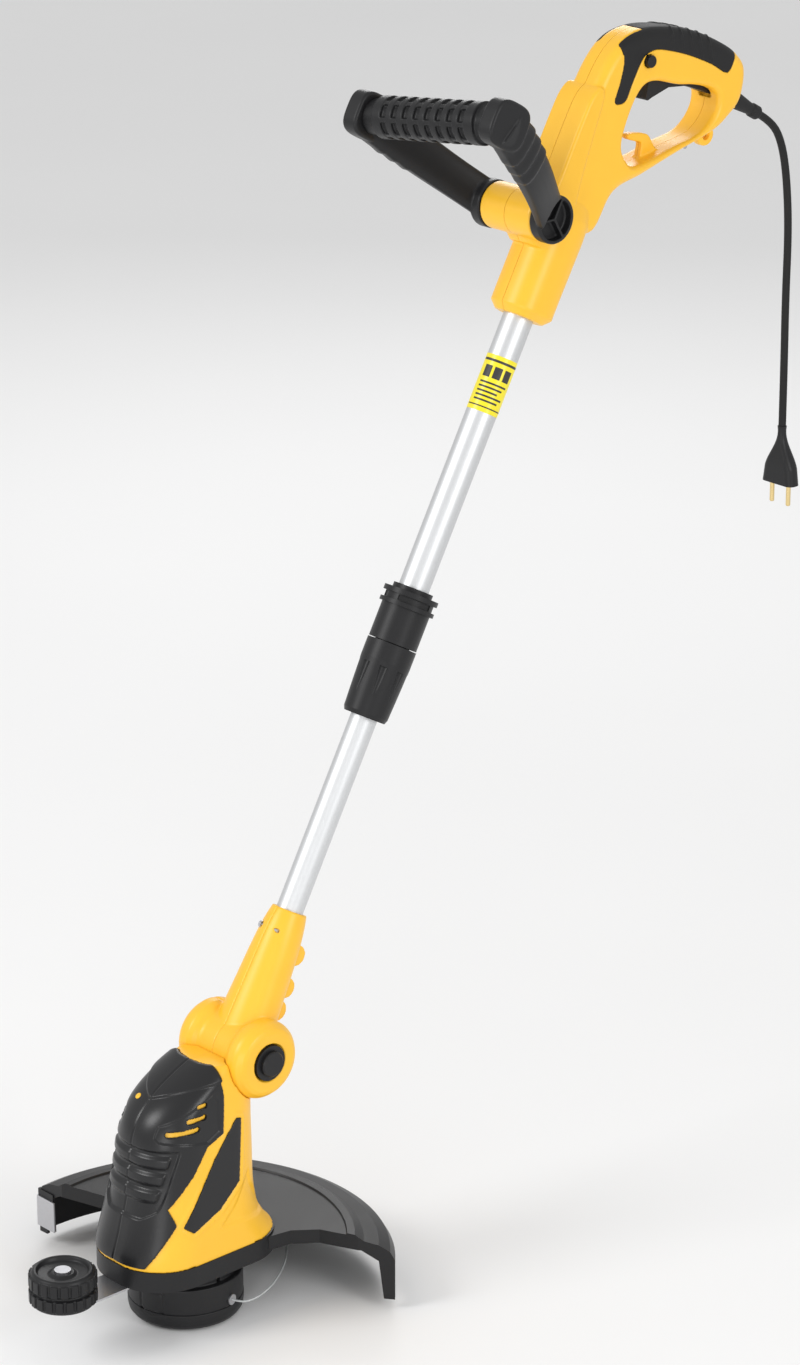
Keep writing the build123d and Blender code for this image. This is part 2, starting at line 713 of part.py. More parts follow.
# plan outline: near edge, round the back, far edge
guard_plan = [
    (30, 28), (46, 47), (50, 68), (64, 86), (94, 100), (128, 125), (150, 190), (-190, 190), (-190, -17), (-137, -15.5),
    (-99, -4), (-58, 6), (-30, 10)]
guard_skin = [
    (guard_radius, guard_skirt_bottom), (guard_radius - guard_thickness, guard_skirt_bottom),
    (guard_radius - guard_thickness, guard_top - 17), (161, guard_top - 13), (153, guard_top - 8.6),
    (141, guard_top - 6), (135.5, guard_top - guard_thickness), (44, guard_top - guard_thickness)]
guard_crown = [
    (44, guard_top), (128, guard_top), (129, guard_top + 1.4), (135, guard_top + 1.2), (142, guard_top - 3.5),
    (154, guard_top - 6), (163, guard_top - 11), (guard_radius, guard_top - 18)]
guard_lip_side = [
    (guard_radius, guard_skirt_bottom), (guard_radius - 9, guard_skirt_bottom), (guard_radius - 13, guard_top - 20),
    (140, guard_top - guard_lip), (44, guard_top - guard_lip)]


def guard_sweep(section):
    """The given (radius, height) section turned round the spool's axis."""
    with BuildPart() as swept:
        with BuildSketch(Plane.XZ):
            with BuildLine():
                Polyline(section, close=True)
            make_face()
        revolve(axis=Axis.Z)
    return swept.part


def guard_area(inset):
    with BuildPart() as area:
        with BuildSketch() as plan:
            with BuildLine():
                Polyline(guard_plan, close=True)
            make_face()
            if inset:
                offset(amount=-inset, kind=Kind.INTERSECTION)
        extrude(amount=90)
    return area.part


with BuildPart() as guard:
    add(guard_sweep(guard_crown + guard_lip_side))
    add(guard_area(lip_thickness), mode=Mode.SUBTRACT)
    add(guard_sweep(guard_crown + guard_skin))
    add(guard_area(0), mode=Mode.INTERSECT)
    with BuildSketch(Plane.XY.offset(guard_shelf_bottom)):
        with Locations((0, 62)):
            Rectangle(72, 44)
    extrude(amount=ring_bottom + 1 - guard_shelf_bottom)
    with BuildSketch(Plane.XY.offset(ring_bottom)):
        with Locations((0, 82)):
            Rectangle(72, 4)
    extrude(amount=guard_top - ring_bottom)
    with BuildSketch(Plane.XY.offset(ring_bottom)):
        ring_outline(0)
    extrude(amount=60, mode=Mode.SUBTRACT)
    with BuildSketch(Plane.XY.offset(guard_shelf_bottom - 1)):
        Circle(shelf_inner)
        with Locations(*guard_screw_spots):
            Circle(2.0)
    extrude(amount=20, mode=Mode.SUBTRACT)
    # the far wall's lower leg, which carries the line cutter
    with BuildSketch(Plane.XY.offset(14)):
        with Locations((-157, -15.6)):
            Rectangle(19, 2.8)
    extrude(amount=34)
export(guard, "guard")

with BuildPart() as line_cutter:
    with BuildSketch(Plane.XY.offset(15)):
        with Locations((-156, -17.6)):
            Rectangle(22, 1.2)
    extrude(amount=27)
export(line_cutter, "line_cutter")

with BuildPart() as guard_screws:
    for spot in guard_screw_spots:
        with BuildSketch(Plane.XY.offset(guard_shelf_bottom)):
            with Locations(spot):
                Circle(2.0)
        extrude(amount=11)
        with BuildSketch(Plane.XY.offset(guard_shelf_bottom - 2.2)):
            with Locations(spot):
                Circle(3.6)
        extrude(amount=2.2)
export(guard_screws, "guard_screws")

arm_thickness = 1.6
with BuildPart() as wheel_plate:
    with BuildSketch(Plane.XY.offset(ring_bottom - arm_thickness)):
        with Locations((0, (wheel_y - 52) / 2)):
            Rectangle(30, -wheel_y - 52)
        with Locations((0, wheel_y)):
            Circle(15)
        with Locations((0, wheel_y), *plate_screw_spots):
            Circle(2.5, mode=Mode.SUBTRACT)
    extrude(amount=arm_thickness)
export(wheel_plate, "wheel_plate")

with BuildPart() as plate_screws:
    for spot in plate_screw_spots:
        with BuildSketch(Plane.XY.offset(ring_bottom - arm_thickness)):
            with Locations(spot):
                Circle(2.0)
        extrude(amount=10)
        with BuildSketch(Plane.XY.offset(ring_bottom - arm_thickness - 1.2)):
            with Locations(spot):
                Circle(3.6)
        extrude(amount=1.2)
    # shouldered axle of the guide wheel, riveted into the plate
    with BuildSketch(Plane.XY.offset(ring_bottom - arm_thickness - 1.2)):
        with Locations((0, wheel_y)):
            Circle(2.5)
    extrude(amount=arm_thickness + 1.2)
    with BuildSketch(Plane.XY.offset(ring_bottom)):
        with Locations((0, wheel_y)):
            Circle(4.0)
    extrude(amount=wheel_height - 3)
    with BuildSketch(Plane.XY.offset(ring_bottom + wheel_height - 3)):
        with Locations((0, wheel_y)):
            Circle(6.5)
    extrude(amount=2.2)
export(plate_screws, "axle_and_screws")

wheel_low = ring_bottom + 0.4
wheel_section = [
    (4 + pin_play, 0), (24, 0), (wheel_radius, 2.5), (wheel_radius, 12), (24.5, 13.2), (24.5, 16.4), (wheel_radius, 17.6),
    (wheel_radius, 27.2), (24, 29.6), (20, 29.6), (17, 27.5), (9, 26.0), (4 + pin_play, 26.0)]
with BuildPart() as guide_wheel:
    with BuildSketch(Plane.XZ):
        with BuildLine():
            Polyline([(x, z + wheel_low) for x, z in wheel_section], close=True)
        make_face()
    revolve(axis=Axis.Z)
    with BuildSketch(Plane.XY.offset(wheel_low - 1)):
        with PolarLocations(wheel_radius + 0.6, 20):
            Rectangle(3.2, 3.0)
    extrude(amount=40, mode=Mode.SUBTRACT)
guide_wheel.part = guide_wheel.part.moved(Location((0, wheel_y, 0)))
export(guide_wheel, "guide_wheel")

# ---- motor ---------------------------------------------------------------
motor_shaft_radius = 4.0
with BuildPart() as motor_shaft:
    with BuildSketch(Plane.XY.offset(25)):
        Circle(motor_shaft_radius)
    extrude(amount=146)
export(motor_shaft, "motor_shaft")


def z_ring(piece_outer, piece_inner, low, high):
    with BuildPart() as ring:
        with BuildSketch(Plane.XY.offset(low)):
            Circle(piece_outer)
            if piece_inner:
                Circle(piece_inner, mode=Mode.SUBTRACT)
        extrude(amount=high - low)
    return ring.part


with BuildPart() as bearings:
    add(z_ring(9.5, motor_shaft_radius + pin_play, ring_bottom + deck, ring_bottom + deck + 7))
    add(z_ring(9.5, motor_shaft_radius + pin_play, 160, 167))
export(bearings, "bearings")

with BuildPart() as armature:
    add(z_ring(19, motor_shaft_radius, 98, 138))
    add(z_ring(11, motor_shaft_radius, 138, 155))
    with BuildSketch(Plane.XY.offset(98)):
        with PolarLocations(19, 12):
            Rectangle(5, 1.8)
    extrude(amount=40, mode=Mode.SUBTRACT)
export(armature, "armature")

with BuildPart() as stator:
    add(z_ring(motor_radius, 19.8, 100, 136))
export(stator, "stator")

with BuildPart() as brushes:
    for sign in (1, -1):
        with BuildSketch(Plane.XY.offset(142)):
            with Locations((sign * 18.4, 0)):
                Rectangle(14, 7)
        extrude(amount=7)
export(brushes, "brushes")

with BuildPart() as cooling_fan:
    add(z_ring(32, motor_shaft_radius, 72, 74.5))
    add(z_ring(9, motor_shaft_radius, 74.5, 86))
    with BuildSketch(Plane.XY.offset(74.5)):
        with PolarLocations(19.5, 12):
            Rectangle(23, 1.6)
    extrude(amount=10)
export(cooling_fan, "cooling_fan")

# ---- spool head ----------------------------------------------------------
cover_line = 15.0
hub_radius = 41.0
eyelet_height = 20.0
eyelet_angle = 11.6
line_radius = 0.8
housing_inner = 42.5

with BuildPart() as spool_housing:
    add(z_ring(spool_radius, 0, cover_line, 37))
    add(z_ring(hub_radius, 0, 37, spool_height))
    chamfer(spool_housing.edges().group_by(Axis.Z)[-1], 1.5)
    add(z_ring(housing_inner, 0, 0, 34), mode=Mode.SUBTRACT)
    add(z_ring(8, 0, 26, 40))
    add(z_ring(motor_shaft_radius, 0, 0, 60), mode=Mode.SUBTRACT)
    with BuildSketch(Plane.XY.offset(37)):
        with PolarLocations(hub_radius - 1, 8):
            Rectangle(5, 3)
    extrude(amount=5, mode=Mode.SUBTRACT)
    with BuildSketch(Plane(origin=(0, 0, eyelet_height), z_dir=Vector(1, 0, 0).rotate(Axis.Z, eyelet_angle))):
        Circle(3.2)
    extrude(amount=60, mode=Mode.SUBTRACT)
export(spool_housing, "spool_housing")

eyelet_dir = Vector(1, 0, 0).rotate(Axis.Z, eyelet_angle)
with BuildPart() as line_eyelet:
    for start, radius, length in ((housing_inner, 3.2, 3.6), (spool_radius + 0.1, 4.4, 1.3)):
        with BuildSketch(Plane(origin=eyelet_dir * start + Vector(0, 0, eyelet_height), z_dir=eyelet_dir)):
            Circle(radius)
        extrude(amount=length)
    with BuildSketch(Plane(origin=Vector(0, 0, eyelet_height), z_dir=eyelet_dir)):
        Circle(line_radius)
    extrude(amount=60, mode=Mode.SUBTRACT)
export(line_eyelet, "line_eyelet")

# free end of the cutting line: leaves the eyelet and curls back under the guard
eyelet_exit = spool_radius + 1.4
line_route = [
    (eyelet_exit * math.cos(math.radians(eyelet_angle)), eyelet_exit * math.sin(math.radians(eyelet_angle)), 20.0),
    (54.0, 11.6, 20.2), (58.0, 19.0, 20.6), (57.0, 32.5, 21.2), (49.5, 51.5, 22.0), (35.5, 72.5, 22.4),
    (18.5, 91.5, 22.2), (3.0, 104.0, 21.8)]


def bend_radii(route):
    """Each arc takes 0.45 of the shorter run beside it."""
    radii = []
    for before, corner, after in zip(route, route[1:], route[2:]):
        into = Vector(*corner) - Vector(*before)
        out = Vector(*after) - Vector(*corner)
        half_turn = math.radians(into.get_angle(out)) / 2
        radii.append(0.45 * min(into.length, out.length) / math.tan(half_turn))
    return radii


def free_cord(route, radius, name):
    radii = bend_radii(route)
    with BuildPart() as cord:
        with BuildLine() as path:
            FilletPolyline(*route, radius=radii)
        with BuildSketch(Plane(origin=path.line @ 0, z_dir=path.line % 0)):
            Circle(radius)
        sweep(path=path.wire())
    length = path.wire().length
    print(name, "length", round(length, 1), "radii", [round(r, 1) for r in radii])
    print(name, "volume ratio", cord.part.volume / (math.pi * radius ** 2 * length))
    return cord


cutting_line = free_cord(line_route, line_radius, "cutting line")
export(cutting_line, "cutting_line")

knob_radius = 20.0
spool_flange = 38.0
with BuildPart() as line_spool:
    add(z_ring(spool_flange, 0, 9, 11))
    add(z_ring(34.0, 0, 11, 24))
    add(z_ring(spool_flange, 0, 24, 26))
    add(z_ring(14.0, 0, 0, 60), mode=Mode.SUBTRACT)
export(line_spool, "line_spool")

with BuildPart() as spool_cover:
    with BuildSketch(Plane.XZ):
        with BuildLine():
            Polyline((0, 0.8), (40, 0.8), (43.5, 2), (45.6, 5), (spool_radius + 0.3, 9), (spool_radius + 0.3, cover_line),
                     (housing_inner - 0.1, cover_line), (housing_inner - 0.1, 9), (0, 9), close=True)
        make_face()
    revolve(axis=Axis.Z)
    add(z_ring(knob_radius + gap, 0, 0, 20), mode=Mode.SUBTRACT)
    # latch tabs that clip into the housing
    for angle in (0, 180):
        with BuildSketch(Plane(origin=(0, 0, cover_line), x_dir=Vector(1, 0, 0).rotate(Axis.Z, angle), z_dir=(0, 0, 1))):
            with Locations((0, -housing_inner + 2.6)):
                Rectangle(16, 2.2)
        extrude(amount=8)
export(spool_cover, "spool_cover")

with BuildPart() as bump_knob:
    add(z_ring(knob_radius, 0, 0, 3.5))
    chamfer(bump_knob.edges().group_by(Axis.Z)[0], 1.0)
    add(z_ring(12.5, 9.0, 3.5, 14))
export(bump_knob, "bump_knob")

spool_spring = coil_spring(Plane.XY.offset(4.2), 6.5, 1.2, 20.5, 5)
export(spool_spring, "spool_spring")

# ---- supply cord and plug ------------------------------------------------
cord_radius = 3.25
tip = shaft_point(relief_s, relief_tip_t)
cord_steps = [(20, -29.23, 0.0), (22, -56, 0.0), (30, -77, 0.6), (46, -86.5, 1.6), (60, -92.5, 1.4), (60, -87.5, -1.6)]
cord_route = [(tip.X, tip.Y, tip.Z)]
for run, slope, drift in cord_steps:
    last = cord_route[-1]
    cord_route.append((
        last[0] + drift, last[1] + run * math.cos(math.radians(slope)), last[2] + run * math.sin(math.radians(slope))))
last_run = 52.0
cord_end = (cord_route[-1][0], cord_route[-1][1], cord_route[-1][2] - last_run)
cord_route.append(cord_end)
supply_cord = free_cord(cord_route, cord_radius, "supply cord")
export(supply_cord, "supply_cord")
print("route", [tuple(round(c, 2) for c in p) for p in cord_route])

plug_width = 35.3
plug_depth = 13.7
plug_length = 36.0
pin_spacing = 18.6
with BuildPart() as plug_body:
    for drop, width, depth, corner in ((0, 8, 8, 3.9), (16, 12, 10, 4.5), (24, 20, 12, 5), (36, plug_width - 4, plug_depth, 6)):
        with BuildSketch(Plane.XY.offset(cord_end[2] - drop)):
            with Locations((cord_end[0], cord_end[1])):
                RectangleRounded(width, depth, corner)
    loft()
    with BuildSketch(Plane.XY.offset(cord_end[2] - 36)):
        with Locations((cord_end[0], cord_end[1])):
            RectangleRounded(plug_width - 4, plug_depth, 6)
    with BuildSketch(Plane.XY.offset(cord_end[2] - plug_length - 14)):
        with Locations((cord_end[0], cord_end[1])):
            RectangleRounded(plug_width, plug_depth, 6)
    loft()
export(plug_body, "plug_body")
plug_face = cord_end[2] - plug_length - 14

with BuildPart() as plug_pins:
    with BuildSketch(Plane.XY.offset(plug_face - 19)):
        with Locations((cord_end[0] - pin_spacing / 2, cord_end[1]), (cord_end[0] + pin_spacing / 2, cord_end[1])):
            Circle(2.0)
    extrude(amount=19)
    fillet(plug_pins.edges().group_by(Axis.Z)[0], 1.2)
export(plug_pins, "plug_pins")
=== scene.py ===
import json
import math

import bmesh
import bpy
from mathutils import Matrix, Vector


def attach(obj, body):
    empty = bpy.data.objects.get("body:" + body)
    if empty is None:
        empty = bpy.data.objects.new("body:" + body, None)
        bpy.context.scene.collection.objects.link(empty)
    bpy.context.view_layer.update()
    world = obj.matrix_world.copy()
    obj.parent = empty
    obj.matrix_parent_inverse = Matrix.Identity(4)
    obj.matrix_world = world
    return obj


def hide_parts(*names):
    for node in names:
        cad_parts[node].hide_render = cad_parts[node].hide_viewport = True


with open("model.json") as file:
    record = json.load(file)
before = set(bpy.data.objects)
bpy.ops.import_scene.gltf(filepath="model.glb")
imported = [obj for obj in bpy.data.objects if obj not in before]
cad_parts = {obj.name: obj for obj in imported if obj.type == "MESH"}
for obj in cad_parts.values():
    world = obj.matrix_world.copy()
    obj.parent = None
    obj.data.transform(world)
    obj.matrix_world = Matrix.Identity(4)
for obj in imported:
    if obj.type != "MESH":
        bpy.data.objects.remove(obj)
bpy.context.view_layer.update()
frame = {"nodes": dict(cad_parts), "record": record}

mm = 0.001
joints = {joint["name"]: joint for joint in frame["record"]["behaviour"]["joints"]}
shaftUp = Vector(joints["release_slide"]["axis"]).normalized()
shaftBack = Vector((0, shaftUp.z, -shaftUp.y))
sideways = Vector((1, 0, 0))
tiltCentre = Vector(joints["head_tilt"]["pos_m"])
print("frame loaded:", len(frame["nodes"]), "nodes")


def onShaft(along, back=0.0, side=0.0):  # millimetres from the tilt axis, up the shaft and to its back
    return tiltCentre + (shaftUp * along + shaftBack * back + sideways * side) * mm


# camera, light and floor
studio = {
    "cameraTurn": 47.47, "cameraPitch": 20.49, "cameraSpot": (2.4610, -2.0258, 1.7198),
    "lens": 118.46, "sensor": 36, "skyColour": (1.0, 1.0, 1.0, 1), "skyStrength": 0.72,
    "floorReach": 15.0, "floorHeight": -0.0004, "floorShades": ((0.86, 0.86, 0.86), (0.9, 0.9, 0.9)),
    "lamps": (
        # name, place, aimed at, size, watts
        ("keyLamp", (-0.9, -2.4, 2.2), (0, 0.1, 0.45), 1.3, 36),
        ("sideLamp", (2.8, 0.2, 1.5), (0, 0.2, 0.5), 1.2, 22),
        ("rimLamp", (-1.8, 2.0, 1.6), (0, 0.2, 0.6), 1.0, 10),
        ("lowLamp", (1.7, -2.2, 0.6), (0, 0, 0.2), 1.2, 12)),
}


def aim(thing, target):
    direction = Vector(target) - thing.location
    thing.rotation_euler = direction.to_track_quat("-Z", "Y").to_euler()


def addStudio():
    scene = bpy.context.scene
    turn, pitch = math.radians(studio["cameraTurn"]), math.radians(studio["cameraPitch"])
    camera = bpy.data.objects.new("mainCamera", bpy.data.cameras.new("mainCamera"))
    camera.data.lens = studio["lens"]
    camera.data.sensor_width = studio["sensor"]
    camera.location = studio["cameraSpot"]
    back = Vector((math.sin(turn) * math.cos(pitch), -math.cos(turn) * math.cos(pitch), math.sin(pitch)))
    camera.rotation_euler = (-back).to_track_quat("-Z", "Y").to_euler()
    scene.collection.objects.link(camera)
    scene.camera = camera
    world = bpy.data.worlds.new("studioWorld")
    world.use_nodes = True
    sky = world.node_tree.nodes["Background"]
    sky.inputs["Color"].default_value = studio["skyColour"]
    sky.inputs["Strength"].default_value = studio["skyStrength"]
    scene.world = world
    for name, place, target, size, watts in studio["lamps"]:
        lamp = bpy.data.objects.new(name, bpy.data.lights.new(name, "AREA"))
        lamp.data.shape = "DISK"
        lamp.data.size = size
        lamp.data.energy = watts
        lamp.location = place
        aim(lamp, target)
        scene.collection.objects.link(lamp)
    scene.view_settings.view_transform = "Standard"
    reach, height = studio["floorReach"], studio["floorHeight"]
    corners = [(x * reach, y * reach, height) for x, y in ((-1, -1), (1, -1), (1, 1), (-1, 1))]
    addMesh("studioFloor", corners, [(0, 1, 2, 3)], floorFinish())


def floorFinish():
    finish = Finish("studioFloor", Specular_IOR_Level=0.2)
    cloud = finish.noise(1.5)
    finish.feed("Base_Color", finish.blendColour(cloud, *studio["floorShades"]))
    finish.feed("Roughness", 0.8 + cloud * 0.1)
    return finish.material


# shader maths
class Wire:
    def __init__(self, tree, socket):
        self.tree = tree
        self.socket = socket

    def maths(self, operation, first, second):
        node = self.tree.nodes.new("ShaderNodeMath")
        node.operation = operation
        for spot, value in enumerate((first, second)):
            if isinstance(value, Wire):
                self.tree.links.new(value.socket, node.inputs[spot])
            else:
                node.inputs[spot].default_value = value
        return Wire(self.tree, node.outputs[0])

    def __add__(self, other):
        return self.maths("ADD", self, other)

    def __radd__(self, other):
        return self.maths("ADD", other, self)

    def __sub__(self, other):
        return self.maths("SUBTRACT", self, other)

    def __rsub__(self, other):
        return self.maths("SUBTRACT", other, self)

    def __mul__(self, other):
        return self.maths("MULTIPLY", self, other)

    def __rmul__(self, other):
        return self.maths("MULTIPLY", other, self)


class Finish:
    def __init__(self, name, **plain):
        self.material = bpy.data.materials.new(name)
        self.material.use_nodes = True
        self.tree = self.material.node_tree
        self.shader = self.tree.nodes["Principled BSDF"]
        for socket, value in plain.items():
            self.shader.inputs[socket.replace("_", " ")].default_value = value
        place = self.tree.nodes.new("ShaderNodeTexCoord")
        self.place = Wire(self.tree, place.outputs["Object"])

    def node(self, kind, settings=None, out=0, **values):
        made = self.tree.nodes.new("ShaderNode" + kind)
        for key, value in (settings or {}).items():
            setattr(made, key, value)
        for key, value in values.items():  # i6 means the seventh socket
            numbered = key[0] == "i" and key[1:].isdigit()
            socket = made.inputs[int(key[1:]) if numbered else key.replace("_", " ")]
            if isinstance(value, Wire):
                self.tree.links.new(value.socket, socket)
            else:
                socket.default_value = value
        return Wire(self.tree, made.outputs[out])

    def feed(self, socket, wire):
        self.tree.links.new(wire.socket, self.shader.inputs[socket.replace("_", " ")])

    def noise(self, scale, detail=2.0, stretch=None):
        where = self.place
        if stretch:
            where = self.node("Mapping", Vector=self.place, Scale=stretch)
        return self.node("TexNoise", {"noise_dimensions": "3D"}, 0, Vector=where, Scale=scale, Detail=detail)

    def blendColour(self, share, first, second):
        return self.node("Mix", {"data_type": "RGBA"}, 2, i0=share, i6=(*first, 1), i7=(*second, 1))

    def bump(self, height, strength, distance):
        self.feed("Normal", self.node("Bump", None, 0, Height=height, Strength=strength, Distance=distance))


def shade(colour, factor):
    return tuple(min(1.0, c * factor) for c in colour)


def mouldedPlastic(name, colour, roughness, grain, texture, shine=0.5):
    finish = Finish(name, Specular_IOR_Level=shine)
    cloud = finish.noise(38.0, 3.0)
    finish.feed("Base_Color", finish.blendColour(cloud, shade(colour, 0.955), shade(colour, 1.04)))
    speck = finish.noise(grain, 2.0)
    finish.feed("Roughness", roughness - 0.05 + speck * 0.06 + cloud * 0.05)
    finish.bump(speck, texture, 0.00012)
    return finish.material


def softRubber(name, colour):
    finish = Finish(name, Specular_IOR_Level=0.3)
    cloud = finish.noise(55.0, 3.0)
    pores = finish.node("TexVoronoi", {"feature": "F1"}, 0, Vector=finish.place, Scale=1500.0)
    finish.feed("Base_Color", finish.blendColour(cloud, shade(colour, 0.85), shade(colour, 1.2)))
    finish.feed("Roughness", 0.56 + cloud * 0.12)
    finish.bump(pores, 0.25, 0.00012)
    return finish.material


def brushedMetal(name, colour, roughness, stretch, depth):
    finish = Finish(name, Metallic=1.0)
    streak = finish.noise(420.0, 3.0, stretch)
    cloud = finish.noise(30.0, 2.0)
    finish.feed("Base_Color", finish.blendColour(streak, shade(colour, 0.93), shade(colour, 1.05)))
    finish.feed("Roughness", roughness - 0.05 + streak * 0.07 + cloud * 0.05)
    finish.bump(streak, depth, 0.00006)
    return finish.material


yellow = (0.96, 0.53, 0.03)
black = (0.013, 0.013, 0.014)
finishes = {
    "yellow_plastic": mouldedPlastic("yellowMoulding", yellow, 0.36, 2600.0, 0.22),
    "black_plastic": mouldedPlastic("blackMoulding", black, 0.40, 2400.0, 0.30, 0.3),
    "soft_grip": softRubber("softGrip", (0.012, 0.012, 0.0125)),
    "cord_rubber": softRubber("cordJacket", (0.010, 0.010, 0.010)),
    "steel": brushedMetal("zincSteel", (0.55, 0.55, 0.57), 0.36, (1, 6, 1), 0.2),
    "brass_parts": brushedMetal("brightBrass", (0.80, 0.62, 0.30), 0.25, (1, 1, 6), 0.15),
    "tube_aluminium": brushedMetal("satinTube", (0.70, 0.71, 0.72), 0.45, (6, 1, 1), 0.12),
}


def nylonLine():
    finish = Finish("nylonLine", Specular_IOR_Level=0.6, Coat_Weight=0.2)
    cloud = finish.noise(300.0)
    finish.feed("Base_Color", finish.blendColour(cloud, (0.42, 0.44, 0.44), (0.55, 0.57, 0.57)))
    finish.feed("Roughness", 0.28 + cloud * 0.1)
    return finish.material


finishes["nylon_line"] = nylonLine()
finishes["label_film"] = mouldedPlastic("labelFilm", (0.90, 0.76, 0.02), 0.30, 900.0, 0.05)
glossBlack = mouldedPlastic("glossBlack", (0.011, 0.011, 0.012), 0.30, 3000.0, 0.12, 0.42)
inkBlack = mouldedPlastic("labelInk", (0.03, 0.03, 0.03), 0.45, 900.0, 0.05)


def paintNodes():
    slots = {part["node"]: part["material_slot"] for part in frame["record"]["subparts"]}
    for name, thing in frame["nodes"].items():
        thing.data.materials.clear()
        thing.data.materials.append(finishes[slots[name]])


# mesh helpers
def addMesh(name, points, faces, material, smooth=True):
    mesh = bpy.data.meshes.new(name)
    mesh.from_pydata([tuple(p) for p in points], [], faces)
    mesh.update()
    thing = bpy.data.objects.new(name, mesh)
    bpy.context.scene.collection.objects.link(thing)
    mesh.materials.append(material)
    tidyNormals(thing)
    for polygon in mesh.polygons:
        polygon.use_smooth = smooth
    return thing


def tidyNormals(thing):
    work = bmesh.new()
    work.from_mesh(thing.data)
    bmesh.ops.remove_doubles(work, verts=work.verts, dist=1e-6)
    bmesh.ops.recalc_face_normals(work, faces=work.faces)
    work.to_mesh(thing.data)
    work.free()


def loftRings(name, rings, material, closed=False):
    count = len(rings[0])
    points = [p for ring in rings for p in ring]
    faces = []
    steps = len(rings) if closed else len(rings) - 1
    for step in range(steps):
        low, high = step * count, ((step + 1) % len(rings)) * count
        for spot in range(count):
            after = (spot + 1) % count
            faces.append((low + spot, low + after, high + after, high + spot))
    if not closed:
        faces += [tuple(range(count)), tuple(range((len(rings) - 1) * count, len(rings) * count))]
    return addMesh(name, points, faces, material)


def roundedPower(angle, power):  # a superellipse's unit point
    c, s = math.cos(angle), math.sin(angle)
    return (math.copysign(abs(c) ** (2 / power), c), math.copysign(abs(s) ** (2 / power), s))


def circle(sides):
    return [2 * math.pi * k / sides for k in range(sides)]


def smoothTable(rows, key):  # a smooth curve through rows that are sorted by their first value
    if key <= rows[0][0]:
        return rows[0][1:]
    if key >= rows[-1][0]:
        return rows[-1][1:]
    spot = max(i for i in range(len(rows) - 1) if rows[i][0] <= key)
    a, b = rows[spot], rows[spot + 1]
    share = (key - a[0]) / (b[0] - a[0])
    before = rows[max(spot - 1, 0)]
    after = rows[min(spot + 2, len(rows) - 1)]
    result = []
    width = b[0] - a[0]
    for column in range(1, len(a)):
        slopeIn = (b[column] - before[column]) / max(b[0] - before[0], 1e-9) * width
        slopeOut = (after[column] - a[column]) / max(after[0] - a[0], 1e-9) * width
        u, u2, u3 = share, share ** 2, share ** 3
        result.append((2 * u3 - 3 * u2 + 1) * a[column] + (u3 - 2 * u2 + u) * slopeIn
                      + (3 * u2 - 2 * u3) * b[column] + (u3 - u2) * slopeOut)
    return tuple(result)


def bake(thing):  # modifiers become plain mesh
    graph = bpy.context.evaluated_depsgraph_get()
    mesh = bpy.data.meshes.new_from_object(thing.evaluated_get(graph))
    thing.modifiers.clear()
    thing.data = mesh
    return thing


def joined(name, parts):  # overlapping forms in one mesh, for a remesh to fuse
    work = bmesh.new()
    for part in parts:
        work.from_mesh(part.data)
        bpy.data.objects.remove(part)
    mesh = bpy.data.meshes.new(name)
    work.to_mesh(mesh)
    work.free()
    thing = bpy.data.objects.new(name, mesh)
    bpy.context.scene.collection.objects.link(thing)
    return thing


def cutAway(thing, cutter, operation="DIFFERENCE", keepCutter=False):
    modifier = thing.modifiers.new("cut", "BOOLEAN")
    modifier.operation = operation
    modifier.solver = "EXACT"
    modifier.object = cutter
    bake(thing)
    if not keepCutter:
        bpy.data.objects.remove(cutter)
    return thing


def settle(thing, body, slot, *nodes):
    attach(thing, body)
    if nodes:
        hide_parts(*nodes)
    return thing


addStudio()
paintNodes()
print("studio and finishes ready")

# cords
leadSizes = {
    "diameter": 6.5, "length": 0.2894,
    "route": ((0.0, 0.62905, 0.86888), (0.0, 0.6465, 0.85912), (0.0, 0.6588, 0.84088),
              (0.0006, 0.66555, 0.81165), (0.0022, 0.66836, 0.76573), (0.0036, 0.66574, 0.70579),
              (0.0020, 0.66836, 0.64585), (0.0020, 0.66836, 0.59385)),
}
lineSizes = {
    "diameter": 1.6, "length": 0.1201,
    "route": ((0.04643, 0.00953, 0.0200), (0.0540, 0.0116, 0.0202), (0.0580, 0.0190, 0.0206),
              (0.0570, 0.0325, 0.0212), (0.0495, 0.0515, 0.0220), (0.0355, 0.0725, 0.0224),
              (0.0185, 0.0915, 0.0222), (0.0030, 0.1040, 0.0218)),
}


def addCord(name, sizes, material):
    curve = bpy.data.curves.new(name, "CURVE")
    curve.dimensions = "3D"
    spline = curve.splines.new("NURBS")
    spline.points.add(len(sizes["route"]) - 1)
    for point, place in zip(spline.points, sizes["route"]):
        point.co = (*place, 1)
    spline.order_u = 3
    spline.use_endpoint_u = True
    spline.resolution_u = 12
    curve.bevel_depth = sizes["diameter"] * mm / 2
    curve.bevel_resolution = 6
    curve.use_fill_caps = True
    curve.materials.append(material)
    thing = bpy.data.objects.new(name, curve)
    bpy.context.scene.collection.objects.link(thing)
    return thing


supplyLead = addCord("supplyLead", leadSizes, finishes["cord_rubber"])
settle(supplyLead, "handle", "cord_rubber", "supply_cord")
cutLine = addCord("cutLine", lineSizes, finishes["nylon_line"])
settle(cutLine, "rotor", "nylon_line", "cutting_line")
print("cords laid")


# mouldings made from the frame's own forms
def copyNodes(name, *nodes):
    work = bmesh.new()
    for node in nodes:
        work.from_mesh(frame["nodes"][node].data)
    bmesh.ops.remove_doubles(work, verts=work.verts, dist=2e-6)
    mesh = bpy.data.meshes.new(name)
    work.to_mesh(mesh)
    work.free()
    thing = bpy.data.objects.new(name, mesh)
    bpy.context.scene.collection.objects.link(thing)
    return thing


